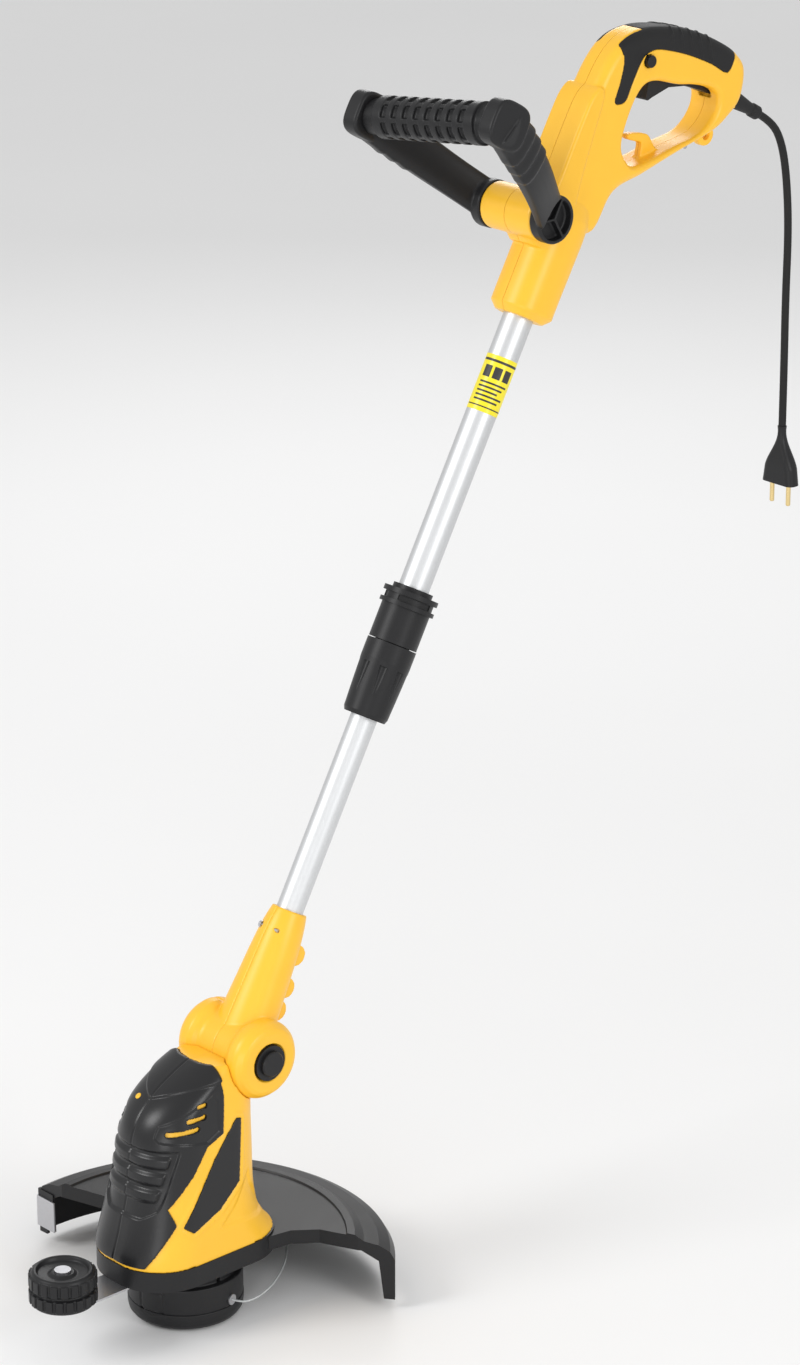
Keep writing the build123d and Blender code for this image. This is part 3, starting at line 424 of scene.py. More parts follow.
def soften(thing, voxel, rounds, material):  # rounds the edges as a mould does
    thing.data.materials.clear()
    thing.data.materials.append(material)
    remesh = thing.modifiers.new("remesh", "REMESH")
    remesh.mode = "VOXEL"
    remesh.voxel_size = voxel * mm
    relax = thing.modifiers.new("relax", "LAPLACIANSMOOTH")
    relax.iterations = rounds
    relax.lambda_factor = 0.12
    relax.use_volume_preserve = True
    bake(thing)
    for polygon in thing.data.polygons:
        polygon.use_smooth = True
    return thing


def smoothStep(low, high, value):
    share = min(1.0, max(0.0, (value - low) / (high - low)))
    return share * share * (3 - 2 * share)


def hump(value, width):  # 1 at the middle, falling smoothly to 0
    return math.exp(-(value / width) ** 2)


def sculpt(thing, height, outwards):  # moves the outer skin along its normals by height(point) millimetres
    normals = [vertex.normal.copy() for vertex in thing.data.vertices]
    for vertex, normal in zip(thing.data.vertices, normals):
        point = vertex.co / mm
        if normal.dot(outwards(point)) > 0.15:
            vertex.co += normal * height(point) * mm
    thing.data.update()


# a closed plate across the tool, from (y, z) points, or from (back, up) points on the shaft
def prism(name, outline, low, high, onShaftPoints=False):
    count = len(outline)
    if onShaftPoints:
        rings = [[onShaft(up, back, side) for back, up in outline] for side in (low, high)]
    else:
        rings = [[Vector((side, y, z)) * mm for y, z in outline] for side in (low, high)]
    faces = [(i, (i + 1) % count, count + (i + 1) % count, count + i) for i in range(count)]
    faces += [tuple(range(count)), tuple(range(2 * count - 1, count - 1, -1))]
    return addMesh(name, rings[0] + rings[1], faces, finishes["black_plastic"], False)


def curvedOutline(corners, steps=8):  # a smooth closed curve through the corners
    count = len(corners)
    result = []
    for spot in range(count):
        p0, p1, p2, p3 = (Vector((*corners[(spot + shift) % count], 0)) for shift in (-1, 0, 1, 2))
        for step in range(steps):
            u = step / steps
            point = 0.5 * ((2 * p1) + (p2 - p0) * u + (2 * p0 - 5 * p1 + 4 * p2 - p3) * u ** 2
                           + (3 * p1 - p0 - 3 * p2 + p3) * u ** 3)
            result.append((point.x, point.y))
    return result


def insideOutline(outline, a, b):
    inside = False
    for (a1, b1), (a2, b2) in zip(outline, outline[1:] + outline[:1]):
        if (b1 > b) != (b2 > b) and a < a1 + (b - b1) / (b2 - b1) * (a2 - a1):
            inside = not inside
    return inside


def outlineDistance(outline, a, b):  # positive inside
    best = 1e9
    for (a1, b1), (a2, b2) in zip(outline, outline[1:] + outline[:1]):
        da, db = a2 - a1, b2 - b1
        share = min(1.0, max(0.0, ((a - a1) * da + (b - b1) * db) / (da * da + db * db)))
        best = min(best, math.hypot(a - a1 - share * da, b - b1 - share * db))
    return best if insideOutline(outline, a, b) else -best


def crossPin(name, back, up, radius, low, high, chamfer=0.0, sides=48):  # a round pin across the tool
    rings = []
    for side, shrink in ((low, chamfer), (low + chamfer, 0), (high - chamfer, 0), (high, chamfer)):
        reach = radius - shrink
        rings.append([onShaft(up + reach * math.sin(a), back + reach * math.cos(a), side)
                      for a in circle(sides)])
    return loftRings(name, rings, finishes["steel"])


# front cover of the motor head
coverSizes = {
    "voxel": 0.75, "seamWidth": 0.55, "seamDepth": 0.8,
    "ribHeights": (150.5, 137.0, 123.5), "ribHalf": 4.2, "ribDepth": 2.4,
    "panel": (103.0, 161.0), "panelDepth": 1.9, "panelEdge": 3, "panelFront": 53,
    "panelSides": ((103, 18), (112, 32), (122, 40), (140, 49), (157, 57), (162, 58)),
    "hoodEdge": (192.5, 0.34), "hoodStep": 1.5, "hoodTop": (222, 226),
    # y, z, length and width of each vent
    "vents": ((-26.5, 173.0, 26.0, 3.6), (-14.5, 181.0, 18.0, 3.4), (-8.0, 190.0, 9.0, 3.2)),
    "ventSlope": 3.0,
    "field": ((-47, 171), (-42, 179), (-13, 191), (4, 197), (8, 190), (6, 166), (-8, 160), (-45, 166)),
    "fieldDepth": 0.9, "fieldSide": 20, "fieldEdge": 1.6,
    "dotSpot": (-13.8, -33.5, 191.3), "dotRadius": 2.6,
    "dotRings": ((1.0, -1.2), (1.0, 0.4), (0.85, 0.8), (0.5, 1.0)),  # share of the radius, height
}


def coverHeight(point):
    x, y, z = point
    sizes = coverSizes
    height = -sizes["seamDepth"] * hump(x, sizes["seamWidth"])
    low, high = sizes["panel"]
    rim = sizes["panelEdge"]
    reach = abs(x) + max(0.0, y + sizes["panelFront"])
    side = smoothTable(sizes["panelSides"], z)[0]
    panel = smoothStep(low, low + rim, z) * (1 - smoothStep(high - rim, high, z))
    panel *= 1 - smoothStep(side - 2.5, side, reach)
    ribs = sum(smoothStep(0, 1, 1.5 - abs(z - spot) / sizes["ribHalf"]) for spot in sizes["ribHeights"])
    ends = 1 - smoothStep(side - 12, side - 7, reach)
    height += panel * (-sizes["panelDepth"] + sizes["ribDepth"] * min(1, ribs) * ends)
    edge, slope = sizes["hoodEdge"]
    hood = smoothStep(-0.7, 0.7, z - edge - slope * abs(x)) * (1 - smoothStep(*sizes["hoodTop"], z))
    height += sizes["hoodStep"] * hood
    if abs(x) > sizes["fieldSide"]:
        inside = outlineDistance(sizes["field"], y, z)
        height -= sizes["fieldDepth"] * smoothStep(0, sizes["fieldEdge"], inside)
    return height


def coverOutwards(point):
    ahead = Vector((point.x, point.y - 12, 0)).normalized()
    return ahead if point.z < 195 else ahead * 0.6 + Vector((0, 0, 0.5))


def addFrontCover():
    sizes = coverSizes
    cover = copyNodes("frontCover", "front_cover")
    slope = math.radians(sizes["ventSlope"])
    for y, z, length, width in sizes["vents"]:
        outline = []
        for turn in range(24):
            angle = 2 * math.pi * turn / 24
            along = math.copysign(length / 2 - width / 2, math.cos(angle)) + width / 2 * math.cos(angle)
            across = width / 2 * math.sin(angle)
            outline.append((y + along * math.cos(slope) - across * math.sin(slope),
                            z + along * math.sin(slope) + across * math.cos(slope)))
        cutAway(cover, prism("vent", outline, -70, 70))
    soften(cover, sizes["voxel"], 3, glossBlack)
    sculpt(cover, coverHeight, coverOutwards)
    settle(cover, "head", "black_plastic", "front_cover")
    spot, normal = cover.closest_point_on_mesh(Vector(sizes["dotSpot"]) * mm)[1:3]
    across = normal.orthogonal().normalized()
    upwards = normal.cross(across)
    rings = []
    for share, proud in sizes["dotRings"]:
        rings.append([spot + (normal * proud + (across * math.cos(a) + upwards * math.sin(a)) * share
                              * sizes["dotRadius"]) * mm for a in circle(24)])
    settle(loftRings("coverDot", rings, finishes["yellow_plastic"]), "head", "yellow_plastic")
    print("front cover:", len(cover.data.polygons), "faces")


addFrontCover()

# motor housing and its side inserts
housingSizes = {
    "voxel": 1.0, "insertVoxel": 0.6,
    "badge": ((29, 169.5), (24, 171), (11, 158), (-2, 144), (-21, 119), (-37, 98), (-29, 92), (-1, 103),
              (21, 120)),
    "rimOut": 3.2, "rimHeight": 0.7, "rimWidth": 1.5, "rimSide": 18,
    "hollow": ((34, 128), (38, 112), (52, 92), (60, 78), (30, 84), (-6, 86), (12, 102)),
    "hollowDepth": 1.3, "hollowSide": 12,
}


def housingHeight(point):
    x, y, z = point
    sizes = housingSizes
    height = 0.0
    if abs(x) > sizes["rimSide"]:
        reach = outlineDistance(sizes["badge"], y, z)
        height += sizes["rimHeight"] * hump(reach + sizes["rimOut"], sizes["rimWidth"])
    if abs(x) > sizes["hollowSide"]:
        height -= sizes["hollowDepth"] * smoothStep(0, 4, outlineDistance(sizes["hollow"], y, z))
    return height


def addHousing():
    for side, node in (("Left", "motor_housing_left"), ("Right", "motor_housing_right")):
        half = soften(copyNodes("housing" + side, node), housingSizes["voxel"], 3, finishes["yellow_plastic"])
        sculpt(half, housingHeight, lambda p: Vector((p.x * 1.3, p.y, 0)).normalized())
        settle(half, "head", "yellow_plastic", node)
    inserts = soften(copyNodes("sideInserts", "side_inserts"), housingSizes["insertVoxel"], 2, glossBlack)
    settle(inserts, "head", "black_plastic", "side_inserts")
    print("motor housing and inserts")


addHousing()

# lower sleeve, round which the head tilts
sleeveSizes = {"voxel": 0.9, "buttonWell": (14.9, 28.7, 60)}  # radius, lowest and highest side


def addSleeves():
    for side, node in (("Left", "lower_sleeve_left"), ("Right", "lower_sleeve_right")):
        half = soften(copyNodes("sleeve" + side, node), sleeveSizes["voxel"], 6, finishes["yellow_plastic"])
        if side == "Left":
            cutAway(half, crossPin("buttonWell", 0, 0, *sleeveSizes["buttonWell"]))
        settle(half, "lower_shaft", "yellow_plastic", node)
    print("lower sleeves")


addSleeves()


# rear handle
handleSizes = {  # every point is (back, up) on the shaft
    "halfWidth": 17.5, "edge": 9.0, "openingEdge": 5.0, "voxel": 1.0, "gripVoxel": 0.8, "seam": 0.35,
    "outline": ((-24, 700), (-25, 745), (-25.5, 790), (-23, 826), (-14, 850), (4, 866), (28, 877), (58, 885),
                (88, 888), (112, 887), (128, 879), (136, 856), (130, 837), (119, 820), (90, 792), (60, 762),
                (36, 738), (27, 700)),
    "opening": ((34, 766), (24, 774), (20, 790), (19.5, 812), (24, 826), (36, 834), (60, 840), (78, 846.5),
                (96, 850.5), (107, 848.5), (112, 838), (110, 824), (102, 811), (84, 796), (64, 778),
                (46, 764.5)),
    "panel": ((-30, 690), (-31.5, 735), (-31.5, 775), (-30, 796), (-24, 807), (-17, 800), (-13, 770),
              (-8, 735), (-2, 706), (-2, 690)),
    "panelHalf": 19.6, "panelEdge": 2.8,
    "hook": ((63, 774), (57, 786), (50, 785.5), (41, 784), (38.5, 786.5), (43, 790), (54, 794), (61, 795),
             (67, 792), (76, 788), (82, 790)),
    "hookHalf": 3.6,
    "slot": ((30, 824), (31, 853), (58, 862), (100, 865), (114, 864), (114, 846), (100, 846), (41, 814)),
    "slotHalf": 7.0, "boss": ((120, 846), (139, 847), (139, 864), (120, 866)), "bossHalf": 9,
    "switchCut": ((17.5, 770), (60, 770), (60, 850), (17.5, 850)), "switchCutHalf": 30,
    "grip": ((-17, 845), (-20, 862), (4, 880), (28, 892), (88, 902), (112, 902), (109, 884), (107, 868),
             (86, 867.5), (58, 864.5), (36, 860), (20, 855), (11, 847), (8.5, 838), (8, 820), (7.7, 806),
             (-3, 801), (-5, 815), (-9, 832)),
    "gripHalf": 40, "crown": ((-45, 830), (3, 830), (3, 905), (-45, 905)), "crownHalf": 10.5,
    "ridgeBacks": (34, 47, 60, 73, 86), "ridgeHeight": 0.9, "ridgeWidth": 1.1, "ridgeSlant": 0.75,
    # along, half width, half depth, shift back
    "socket": ((618, 18.5, 18.5, 0), (624, 24, 24, 0), (640, 24, 24, 0), (690, 24, 24.5, 0.5),
               (704, 23, 24.5, 0.5), (714, 19.5, 24.0, 0.5), (724, 15, 21, 1)),
    "neck": ((672, 16, 10, -20), (678, 20, 16, -22), (694, 21, 22, -24), (712, 18, 20, -22),
             (722, 12, 14, -18)),
    "bore": ((600, 12.55, 12.55, 0), (721, 12.55, 12.55, 0)),
    # back, up, radius, lowest and highest side, chamfer
    "barrel": (-40, 694, 19, -28, 28, 1.2), "buttonHole": (16.4, 844, 5.4, 4, 30),
    "tab": (124, 818, 9.0, -4, 4, 0.8), "eye": (124, 818, 4.0, -30, 30),
    "screws": ((8, 735), (-16, 800), (98, 800)), "socketScrew": (18, 648),
    "screwWell": (3.4, -40, -13.5), "thumbRib": (4.8, -10, 10, 2.0), "thumbRibs": (23.2, (666, 681, 696)),
}


def offsetOutline(outline, amount):  # positive moves inwards
    count = len(outline)
    area = sum(outline[i][0] * outline[(i + 1) % count][1] - outline[(i + 1) % count][0] * outline[i][1]
               for i in range(count))
    sign = 1 if area > 0 else -1
    result = []
    for spot in range(count):
        a0, b0 = outline[spot - 1]
        a1, b1 = outline[(spot + 1) % count]
        length = math.hypot(a1 - a0, b1 - b0) or 1
        result.append((outline[spot][0] - sign * (b1 - b0) / length * amount,
                       outline[spot][1] + sign * (a1 - a0) / length * amount))
    return result


# a plate across the tool with rounded edges; inwards -1 gives a cutter that flares at its ends
def roundedPlate(name, corners, half, edge, inwards=1, steps=5):
    outline = curvedOutline(corners)
    rings = []
    for step in [*range(-steps, 1), *range(steps + 1)]:
        turn = abs(step) / steps * math.pi / 2
        side = math.copysign(half - edge + edge * math.sin(turn), -1 if len(rings) <= steps else 1)
        ring = offsetOutline(outline, inwards * edge * (1 - math.cos(turn))) if step else outline
        rings.append([onShaft(up, back, side) for back, up in ring])
    if inwards < 0:
        last = offsetOutline(outline, inwards * edge)
        rings.insert(0, [onShaft(up, back, -half - 12) for back, up in last])
        rings.append([onShaft(up, back, half + 12) for back, up in last])
    return loftRings(name, rings, finishes["yellow_plastic"])


def shaftLoft(name, sections, power, sides=72):  # sections of (along, half width, half depth, shift back)
    rings = []
    for along, wide, deep, shift in sections:
        unit = [roundedPower(a, power) for a in circle(sides)]
        rings.append([onShaft(along, shift + deep * cy, wide * cx) for cx, cy in unit])
    return loftRings(name, rings, finishes["yellow_plastic"])


def shaftPrism(name, outline, half):
    return prism(name, outline, -half, half, True)


def splitAtSeam(thing, names, seam):
    corners = [Vector((x * seam / 2, y * 800, z * 1200)) * mm
               for x in (-1, 1) for y in (-1, 1) for z in (0, 1)]
    sides = [(0, 1, 3, 2), (4, 5, 7, 6), (0, 1, 5, 4), (2, 3, 7, 6), (0, 2, 6, 4), (1, 3, 7, 5)]
    cutAway(thing, addMesh("slab", corners, sides, finishes["yellow_plastic"], False))
    made = []
    for name, side in zip(names, (1, -1)):
        work = bmesh.new()
        work.from_mesh(thing.data)
        away = [v for v in work.verts if v.co.x * side < 0]
        bmesh.ops.delete(work, geom=away, context="VERTS")
        mesh = bpy.data.meshes.new(name)
        work.to_mesh(mesh)
        work.free()
        mesh.materials.clear()
        mesh.materials.append(finishes["yellow_plastic"])
        half = bpy.data.objects.new(name, mesh)
        bpy.context.scene.collection.objects.link(half)
        for polygon in mesh.polygons:  # the flat faces at the seam stay sharp
            onSeam = abs(abs(polygon.center.x) - seam * mm / 2) <= 2e-6
            polygon.use_smooth = abs(polygon.normal.x) < 0.9999 or not onSeam
        made.append(half)
    bpy.data.objects.remove(thing)
    return made


def ridgeHeight(point):
    sizes = handleSizes
    place = point * mm - tiltCentre
    back, up = place.dot(shaftBack) / mm, place.dot(shaftUp) / mm
    slanted = back + sizes["ridgeSlant"] * max(0.0, abs(point.x) - 3) + 0.9 * (up - 880)
    ridge = max(hump(slanted - spot, sizes["ridgeWidth"]) for spot in sizes["ridgeBacks"])
    return sizes["ridgeHeight"] * ridge * smoothStep(866, 870, up) * smoothStep(2.5, 5, abs(point.x))


def addHandle():
    sizes = handleSizes
    body = roundedPlate("handleBody", sizes["outline"], sizes["halfWidth"], sizes["edge"])
    cutAway(body, roundedPlate("opening", sizes["opening"], sizes["halfWidth"], sizes["openingEdge"], -1))
    grip = bpy.data.objects.new("gripSleeve", body.data.copy())
    bpy.context.scene.collection.objects.link(grip)
    band = shaftPrism("band", curvedOutline(sizes["grip"], 3), sizes["gripHalf"])
    cutAway(band, shaftPrism("crown", sizes["crown"], sizes["crownHalf"]))
    cutAway(grip, band, "INTERSECT", keepCutter=True)
    cutAway(body, band)
    cutAway(body, shaftPrism("slot", sizes["slot"], sizes["slotHalf"]))
    cutAway(body, crossPin("buttonHole", *sizes["buttonHole"]))
    for spot in sizes["screws"]:
        cutAway(body, crossPin("screwWell", *spot, *sizes["screwWell"]))
    socket = shaftLoft("socket", sizes["socket"], 2.5)
    cutAway(socket, crossPin("screwWell", *sizes["socketScrew"], *sizes["screwWell"]))
    tab = crossPin("tab", *sizes["tab"])
    cutAway(tab, crossPin("eye", *sizes["eye"]))
    back, heights = sizes["thumbRibs"]
    body = joined("handleBody", [
        body, roundedPlate("panel", sizes["panel"], sizes["panelHalf"], sizes["panelEdge"]), socket,
        crossPin("barrel", *sizes["barrel"], 64), shaftLoft("neck", sizes["neck"], 2.6),
        shaftPrism("hook", curvedOutline(sizes["hook"], 4), sizes["hookHalf"]), tab,
        shaftPrism("boss", sizes["boss"], sizes["bossHalf"]),
        *(crossPin("thumbRib", back, height, *sizes["thumbRib"]) for height in heights)])
    soften(body, sizes["voxel"], 5, finishes["yellow_plastic"])
    cutAway(body, shaftLoft("bore", sizes["bore"], 2))
    left, right = splitAtSeam(body, ("handleLeft", "handleRight"), sizes["seam"])
    settle(left, "handle", "yellow_plastic", "handle_shell_left")
    settle(right, "handle", "yellow_plastic", "handle_shell_right")
    soften(grip, sizes["gripVoxel"], 3, finishes["soft_grip"])
    sculpt(grip, ridgeHeight, lambda p: Vector((p.x * 0.04, shaftUp.y, shaftUp.z)))
    settle(grip, "handle", "soft_grip", "grip_overmould")
    switch = copyNodes("switchCase", "switch_body")  # kept out of the hand opening
    switch.data.materials.append(finishes["black_plastic"])
    cutAway(switch, shaftPrism("clear", sizes["switchCut"], sizes["switchCutHalf"]))
    settle(switch, "handle", "black_plastic", "switch_body")
    faces = len(left.data.polygons) + len(right.data.polygons)
    print("handle:", faces, "faces, grip", len(grip.data.polygons))


addHandle()


# things that repeat, made by Geometry Nodes
def nodeGroup(name, inputs):
    tree = bpy.data.node_groups.new(name, "GeometryNodeTree")
    tree.interface.new_socket("Geometry", in_out="OUTPUT", socket_type="NodeSocketGeometry")
    keys = {}
    for label, (kind, value) in inputs.items():
        socket = tree.interface.new_socket(label, in_out="INPUT", socket_type="NodeSocket" + kind)
        if value is not None:
            socket.default_value = value
        keys[label] = socket.identifier
    start, end = tree.nodes.new("NodeGroupInput"), tree.nodes.new("NodeGroupOutput")
    return tree, keys, start, end


def makeNode(tree, kind, settings=None, **values):
    made = tree.nodes.new("GeometryNode" + kind)
    for key, value in (settings or {}).items():
        setattr(made, key, value)
    for key, value in values.items():
        socket = made.inputs[key.replace("_", " ")]
        if isinstance(value, bpy.types.NodeSocket):
            tree.links.new(value, socket)
        else:
            socket.default_value = value
    return made


def repeatRound():  # blocks standing in a ring
    tree, keys, start, end = nodeGroup("blocksInRing", {
        "Count": ("Int", 12), "Radius": ("Float", 0.02), "Block": ("Vector", (0.002, 0.004, 0.01)),
        "Material": ("Material", None)})
    ring = makeNode(tree, "MeshCircle", {"fill_type": "NONE"}, Vertices=start.outputs["Count"],
                    Radius=start.outputs["Radius"])
    block = makeNode(tree, "MeshCube", None, Size=start.outputs["Block"])
    where = makeNode(tree, "InputPosition")
    turned = tree.nodes.new("FunctionNodeAlignRotationToVector")
    turned.axis = "X"
    tree.links.new(where.outputs["Position"], turned.inputs["Vector"])
    placed = makeNode(tree, "InstanceOnPoints", None, Points=ring.outputs["Mesh"],
                      Instance=block.outputs["Mesh"], Rotation=turned.outputs["Rotation"])
    real = makeNode(tree, "RealizeInstances", None, Geometry=placed.outputs["Instances"])
    painted = makeNode(tree, "SetMaterial", None, Geometry=real.outputs["Geometry"],
                       Material=start.outputs["Material"])
    tree.links.new(painted.outputs["Geometry"], end.inputs["Geometry"])
    return tree, keys


ringTree = repeatRound()


def grow(name, treeAndKeys, values, matrix=None):
    tree, keys = treeAndKeys
    thing = bpy.data.objects.new(name, bpy.data.meshes.new(name))
    bpy.context.scene.collection.objects.link(thing)
    modifier = thing.modifiers.new("nodes", "NODES")
    modifier.node_group = tree
    for label, value in values.items():
        modifier[keys[label]] = value
    bpy.context.view_layer.update()
    bake(thing)
    if matrix:
        thing.data.transform(matrix)
    return thing


# loop handle in front
loopSizes = {
    "pivotBack": -40.0, "pivotUp": 694.0, "gripBack": -163.0, "gripUp": 725.0, "slope": 7.6,
    "rootSide": 34.0, "tipSide": 71.0, "steps": 80, "sides": 56, "power": 4.5,
    "thick": (4.2, 2.2), "high": (15.5, 1.5), "bow": 5.0, "crown": 1.8, "back": 0.6,
    "bands": (0.58, 0.68, 0.78), "bandRise": 1.7,
    "discRadius": 19.5, "discOut": 39.0, "discIn": 28.5, "innerRadius": 22, "innerSide": 10,
    "wellRadius": 16.6, "wellFloor": 32.0, "wellTop": 60, "spokes": (90, 210, 330),
    "capWide": 19.5, "capTall": 18.5, "capHalf": 7.6, "capEdge": 2.5, "capPower": 3.2,
    "boltRadius": 4.0, "boltHalf": 31.5, "boltChamfer": 0.6, "armVoxel": 0.8,
}
gripSizes = {
    "radius": 14.4, "hoopRadius": 17.0, "half": 65.0, "collar": (54, 53, 49.5, 49), "sides": 64, "voxel": 0.6,
    "hoops": 9, "pitch": 11.7, "hoopHalf": 3.0, "hoopFlat": 2.5, "hoopEdge": 0.4,
    "ribs": 7, "ribRadius": 14.9, "rib": (3.4, 3.8, 100),
}


def armRings(side):
    sizes = loopSizes
    rise = sizes["tipSide"] * math.tan(math.radians(sizes["slope"]))
    root = onShaft(sizes["pivotUp"], sizes["pivotBack"], side * sizes["rootSide"])
    tip = onShaft(sizes["gripUp"] + side * rise, sizes["gripBack"], side * sizes["tipSide"])
    along = (tip - root).normalized()
    across = along.cross(shaftUp).normalized() * -side
    tall = across.cross(along) * -side
    rings = []
    for step in range(sizes["steps"] + 1):
        u = step / sizes["steps"]
        band = 0.0
        for spot in sizes["bands"]:  # each band steps up and fades out
            band += smoothStep(spot, spot + 0.015, u) * (1 - 0.7 * smoothStep(spot + 0.02, spot + 0.1, u))
        band *= sizes["bandRise"]
        thick = sizes["thick"][0] + sizes["thick"][1] * smoothStep(0.05, 0.6, u)
        high = sizes["high"][0] + sizes["high"][1] * smoothStep(0.2, 0.9, u) + band * 0.5
        bow = sizes["bow"] * math.sin(math.pi * u) ** 1.3
        centre = root + (tip - root) * u + across * (bow + band * 0.5) * mm
        ring = []
        for angle in circle(sizes["sides"]):
            cx, cy = roundedPower(angle, sizes["power"])
            crown = (sizes["crown"] if cx > 0 else -sizes["back"]) * (1 - cy * cy)
            ring.append(centre + (across * (cx * (thick + band * 0.5) + crown) + tall * cy * high) * mm)
        rings.append(ring)
    return rings


def pivotPin(name, side, radius, near, far, chamfer=0.0):  # round the loop handle's pivot, on one side
    low, high = sorted((side * near, side * far))
    return crossPin(name, loopSizes["pivotBack"], loopSizes["pivotUp"], radius, low, high, chamfer, 64)


def armCap(side):
    sizes = loopSizes
    rise = sizes["tipSide"] * math.tan(math.radians(sizes["slope"]))
    up, edge = sizes["gripUp"] + side * rise, sizes["capEdge"]
    rings = []
    for step in [*range(-5, 0), *range(1, 6)]:
        turn = abs(step) / 5 * math.pi / 2
        x = side * sizes["tipSide"] + math.copysign(sizes["capHalf"] - edge + edge * math.sin(turn), step)
        inset = edge * (1 - math.cos(turn))
        tall, wide = sizes["capTall"] - inset, sizes["capWide"] - inset
        unit = [roundedPower(angle, sizes["capPower"]) for angle in circle(64)]
        rings.append([onShaft(up + tall * cy, sizes["gripBack"] + wide * cx, x) for cx, cy in unit])
    return loftRings("cap", rings, finishes["black_plastic"])


def pivotSpoke(side, turn):
    sizes = loopSizes
    c, s = math.cos(math.radians(turn)), math.sin(math.radians(turn))
    reach = sizes["wellRadius"] + 1
    ends = [(sizes["pivotBack"] + out * c - wide * s, sizes["pivotUp"] + out * s + wide * c)
            for out, wide in ((-0.5, -1), (reach, -1), (reach, 1), (-0.5, 1))]
    low, high = sorted((side * (sizes["wellFloor"] - 1), side * (sizes["discOut"] - 1.2)))
    return prism("spoke", ends, low, high, True)


def addLoopArms():
    sizes = loopSizes
    for side, name, node in ((1, "loopArmLeft", "aux_arm_left"), (-1, "loopArmRight", "aux_arm_right")):
        arm = loftRings(name, armRings(side), finishes["black_plastic"])
        disc = pivotPin("disc", side, sizes["discRadius"], sizes["discIn"], sizes["discOut"], 0.8)
        cutAway(arm, disc, "UNION")
        cutAway(arm, armCap(side), "UNION")
        cutAway(arm, pivotPin("well", side, sizes["wellRadius"], sizes["wellFloor"], sizes["wellTop"]))
        cutAway(arm, pivotPin("inner", side, sizes["innerRadius"], sizes["innerSide"], sizes["discIn"]))
        for turn in sizes["spokes"]:
            cutAway(arm, pivotSpoke(side, turn), "UNION")
        soften(arm, sizes["armVoxel"], 3, finishes["black_plastic"])
        settle(arm, "aux_handle", "black_plastic", node)
    half = sizes["boltHalf"]
    bolt = crossPin("pivotBolt", sizes["pivotBack"], sizes["pivotUp"], sizes["boltRadius"], -half, half,
                    sizes["boltChamfer"])
    settle(bolt, "handle", "steel", "aux_pivot_bolt")
    print("loop handle arms")


def addLoopGrip():
    sizes = gripSizes
    slope = math.radians(loopSizes["slope"])
    bar = sideways * math.cos(slope) + shaftUp * math.sin(slope)
    turned = Matrix((shaftBack, bar.cross(shaftBack), bar)).transposed().to_4x4()
    place = Matrix.Translation(onShaft(loopSizes["gripUp"], loopSizes["gripBack"])) @ turned

    def turnedRings(profile):  # rows of height and radius
        return [[place @ (Vector((radius * math.cos(a), radius * math.sin(a), height)) * mm)
                 for a in circle(sizes["sides"])] for height, radius in profile]

    low, proud = sizes["radius"], sizes["hoopRadius"]
    outer, rise, fall, inner = sizes["collar"]
    profile = [(-sizes["half"], low), (-outer, low), (-rise, proud), (-fall, proud), (-inner, low)]
    profile += [(-height, radius) for height, radius in reversed(profile)]
    parts = [loftRings("gripCore", turnedRings(profile), finishes["black_plastic"])]
    half, flat, worn = sizes["hoopHalf"], sizes["hoopFlat"], proud - sizes["hoopEdge"]
    for number in range(sizes["hoops"]):
        height = (number - (sizes["hoops"] - 1) / 2) * sizes["pitch"]
        hoop = [(height - half, worn), (height - flat, proud), (height + flat, proud), (height + half, worn)]
        parts.append(loftRings("hoop", turnedRings(hoop), finishes["black_plastic"]))
    parts.append(grow("gripRibs", ringTree, {
        "Count": sizes["ribs"], "Radius": sizes["ribRadius"] * mm,
        "Block": tuple(size * mm for size in sizes["rib"]), "Material": finishes["black_plastic"]}, place))
    grip = soften(joined("gripBar", parts), sizes["voxel"], 2, finishes["black_plastic"])
    settle(grip, "aux_handle", "black_plastic", "aux_grip")
    print("loop handle grip:", len(grip.data.polygons), "faces")


addLoopArms()
addLoopGrip()


# spool housing and its cover
spoolSizes = {
    "voxel": 0.7, "latchAngle": -76.5, "latchSpread": 13.5, "latch": (13.5, 33.0), "latchPower": 6,
    "groove": 0.9, "grooveWidth": 1.0,
}


def latchHeight(point):
    sizes = spoolSizes
    height, power = 0.0, sizes["latchPower"]
    low, high = sizes["latch"]
    angle = math.degrees(math.atan2(point.y, point.x))
    for turn in (0, 180):  # a latch on each side
        across = ((angle - sizes["latchAngle"] - turn + 180) % 360 - 180) / sizes["latchSpread"]
        along = (2 * point.z - low - high) / (high - low)
        edge = (abs(across) ** power + abs(along) ** power) ** (1 / power)
        height -= sizes["groove"] * hump((edge - 1) * 10, sizes["grooveWidth"])
    return height


def addSpool():
    for name, node in (("spoolHousing", "spool_housing"), ("spoolCap", "spool_cover")):
        part = soften(copyNodes(name, node), spoolSizes["voxel"], 3, finishes["black_plastic"])
        sculpt(part, latchHeight, lambda p: Vector((p.x, p.y, 0)).normalized())
        settle(part, "rotor", "black_plastic", node)
    print("spool")


addSpool()

# guide wheel, with its lugs
wheelSizes = {
    "centre": (0.0, -123.0), "voxel": 0.55, "lugs": 20, "lugRadius": 25.2, "lug": (3.2, 5.6, 9.6),
    "rows": ((55.6, 9), (69.0, 0)),  # height and turn of each row of lugs
    "profile": ((8.6, 47.6), (22, 47.6), (24.6, 49.0), (25.4, 51), (25.4, 60.2), (23.4, 61.2), (23.4, 63.2),
                (25.4, 64.2), (25.4, 73.4), (24.2, 75.8), (22.6, 76.9), (20.8, 76.4), (19.4, 73.6),
                (11.5, 72.6), (8.6, 74.4), (4.05, 74.4), (4.05, 47.6)),
}


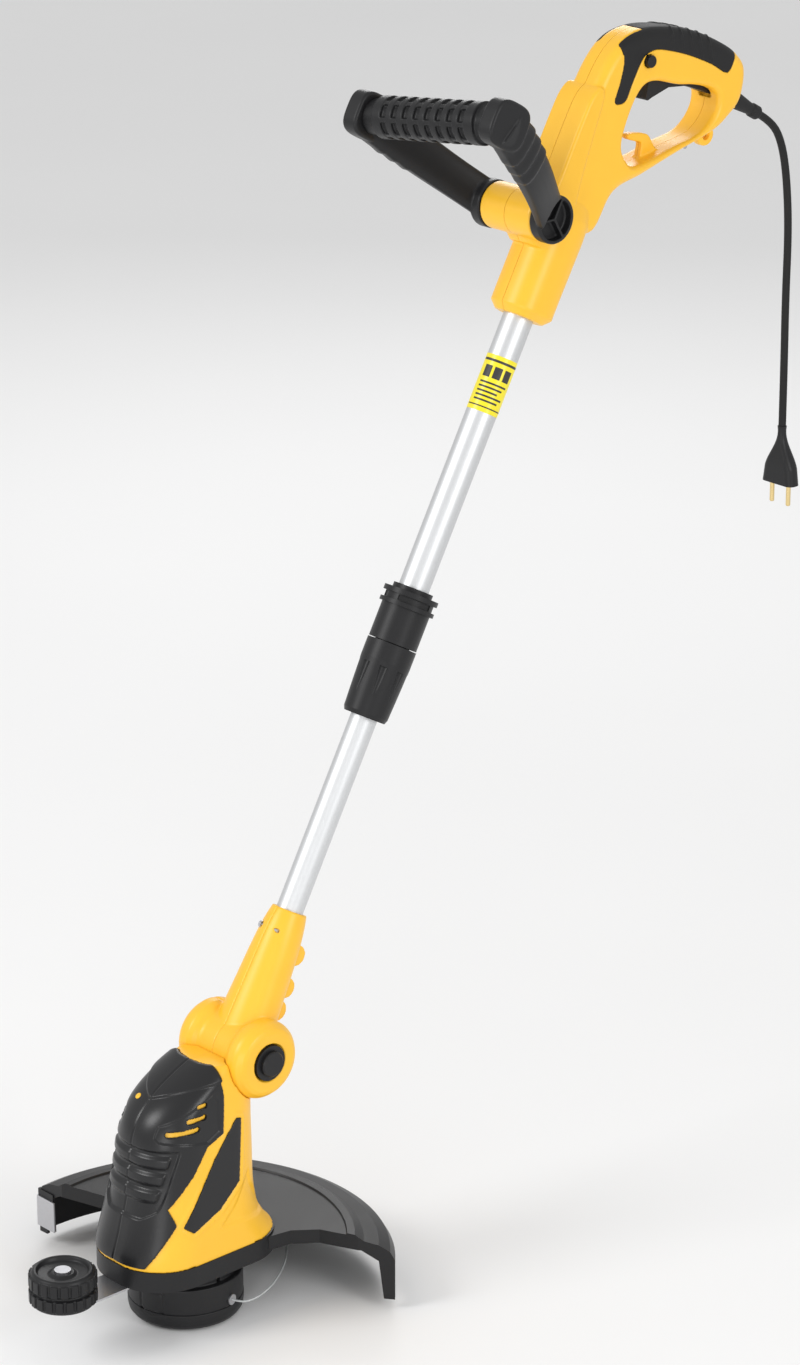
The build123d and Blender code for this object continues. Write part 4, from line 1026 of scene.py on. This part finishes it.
def addWheel():
    sizes = wheelSizes
    place = Vector((*sizes["centre"], 0))
    rings = []
    for radius, height in sizes["profile"]:
        rings.append([(place + Vector((radius * math.cos(a), radius * math.sin(a), height))) * mm
                      for a in circle(96)])
    parts = [loftRings("wheelCore", rings, finishes["black_plastic"], closed=True)]
    lug = {"Count": sizes["lugs"], "Radius": sizes["lugRadius"] * mm,
           "Block": tuple(size * mm for size in sizes["lug"]), "Material": finishes["black_plastic"]}
    for height, spin in sizes["rows"]:
        lifted = Matrix.Translation(place * mm + Vector((0, 0, height * mm)))
        parts.append(grow("lugs", ringTree, lug, lifted @ Matrix.Rotation(math.radians(spin), 4, "Z")))
    wheel = soften(joined("guideWheel", parts), sizes["voxel"], 2, finishes["black_plastic"])
    settle(wheel, "guide_wheel", "black_plastic", "guide_wheel")
    print("guide wheel:", len(wheel.data.polygons), "faces")


addWheel()

# label round the upper tube
labelSizes = {
    "radius": 12.57, "thick": 0.27, "centre": -42.0, "spread": 78.0, "bars": ((577.5, 579.5), (540.5, 541.5)),
    "blocks": (-56, -16, 24), "blockWidth": 30, "blockRows": (564.5, 574.0),
    "lineStart": -56, "lineEnds": (54, 40, 26, 54, 40), "lineRows": (559.5, 561.0), "linePitch": 3.6,
}


def tubePatch(angleLow, angleHigh, low, high):  # degrees round the tube, then places along it
    inner, outer = labelSizes["radius"], labelSizes["radius"] + labelSizes["thick"]
    first, last = angleLow + labelSizes["centre"], angleHigh + labelSizes["centre"]
    steps = max(2, int((last - first) / 4))
    rings = []
    for step in range(steps + 1):
        angle = math.radians(first + (last - first) * step / steps)
        rings.append([onShaft(up, r * math.sin(angle), r * math.cos(angle))
                      for r, up in ((inner, low), (inner, high), (outer, high), (outer, low))])
    return loftRings("mark", rings, inkBlack)


def addLabelMarks():
    sizes = labelSizes
    parts = [tubePatch(-sizes["spread"], sizes["spread"], *bar) for bar in sizes["bars"]]
    parts += [tubePatch(start, start + sizes["blockWidth"], *sizes["blockRows"]) for start in sizes["blocks"]]
    for row, end in enumerate(sizes["lineEnds"]):
        low, high = (height - sizes["linePitch"] * row for height in sizes["lineRows"])
        parts.append(tubePatch(sizes["lineStart"], end, low, high))
    marks = joined("labelMarks", parts)
    marks.data.materials.append(inkBlack)
    for polygon in marks.data.polygons:
        polygon.use_smooth = False
    settle(marks, "handle", "black_plastic")
    print("label marks")


addLabelMarks()
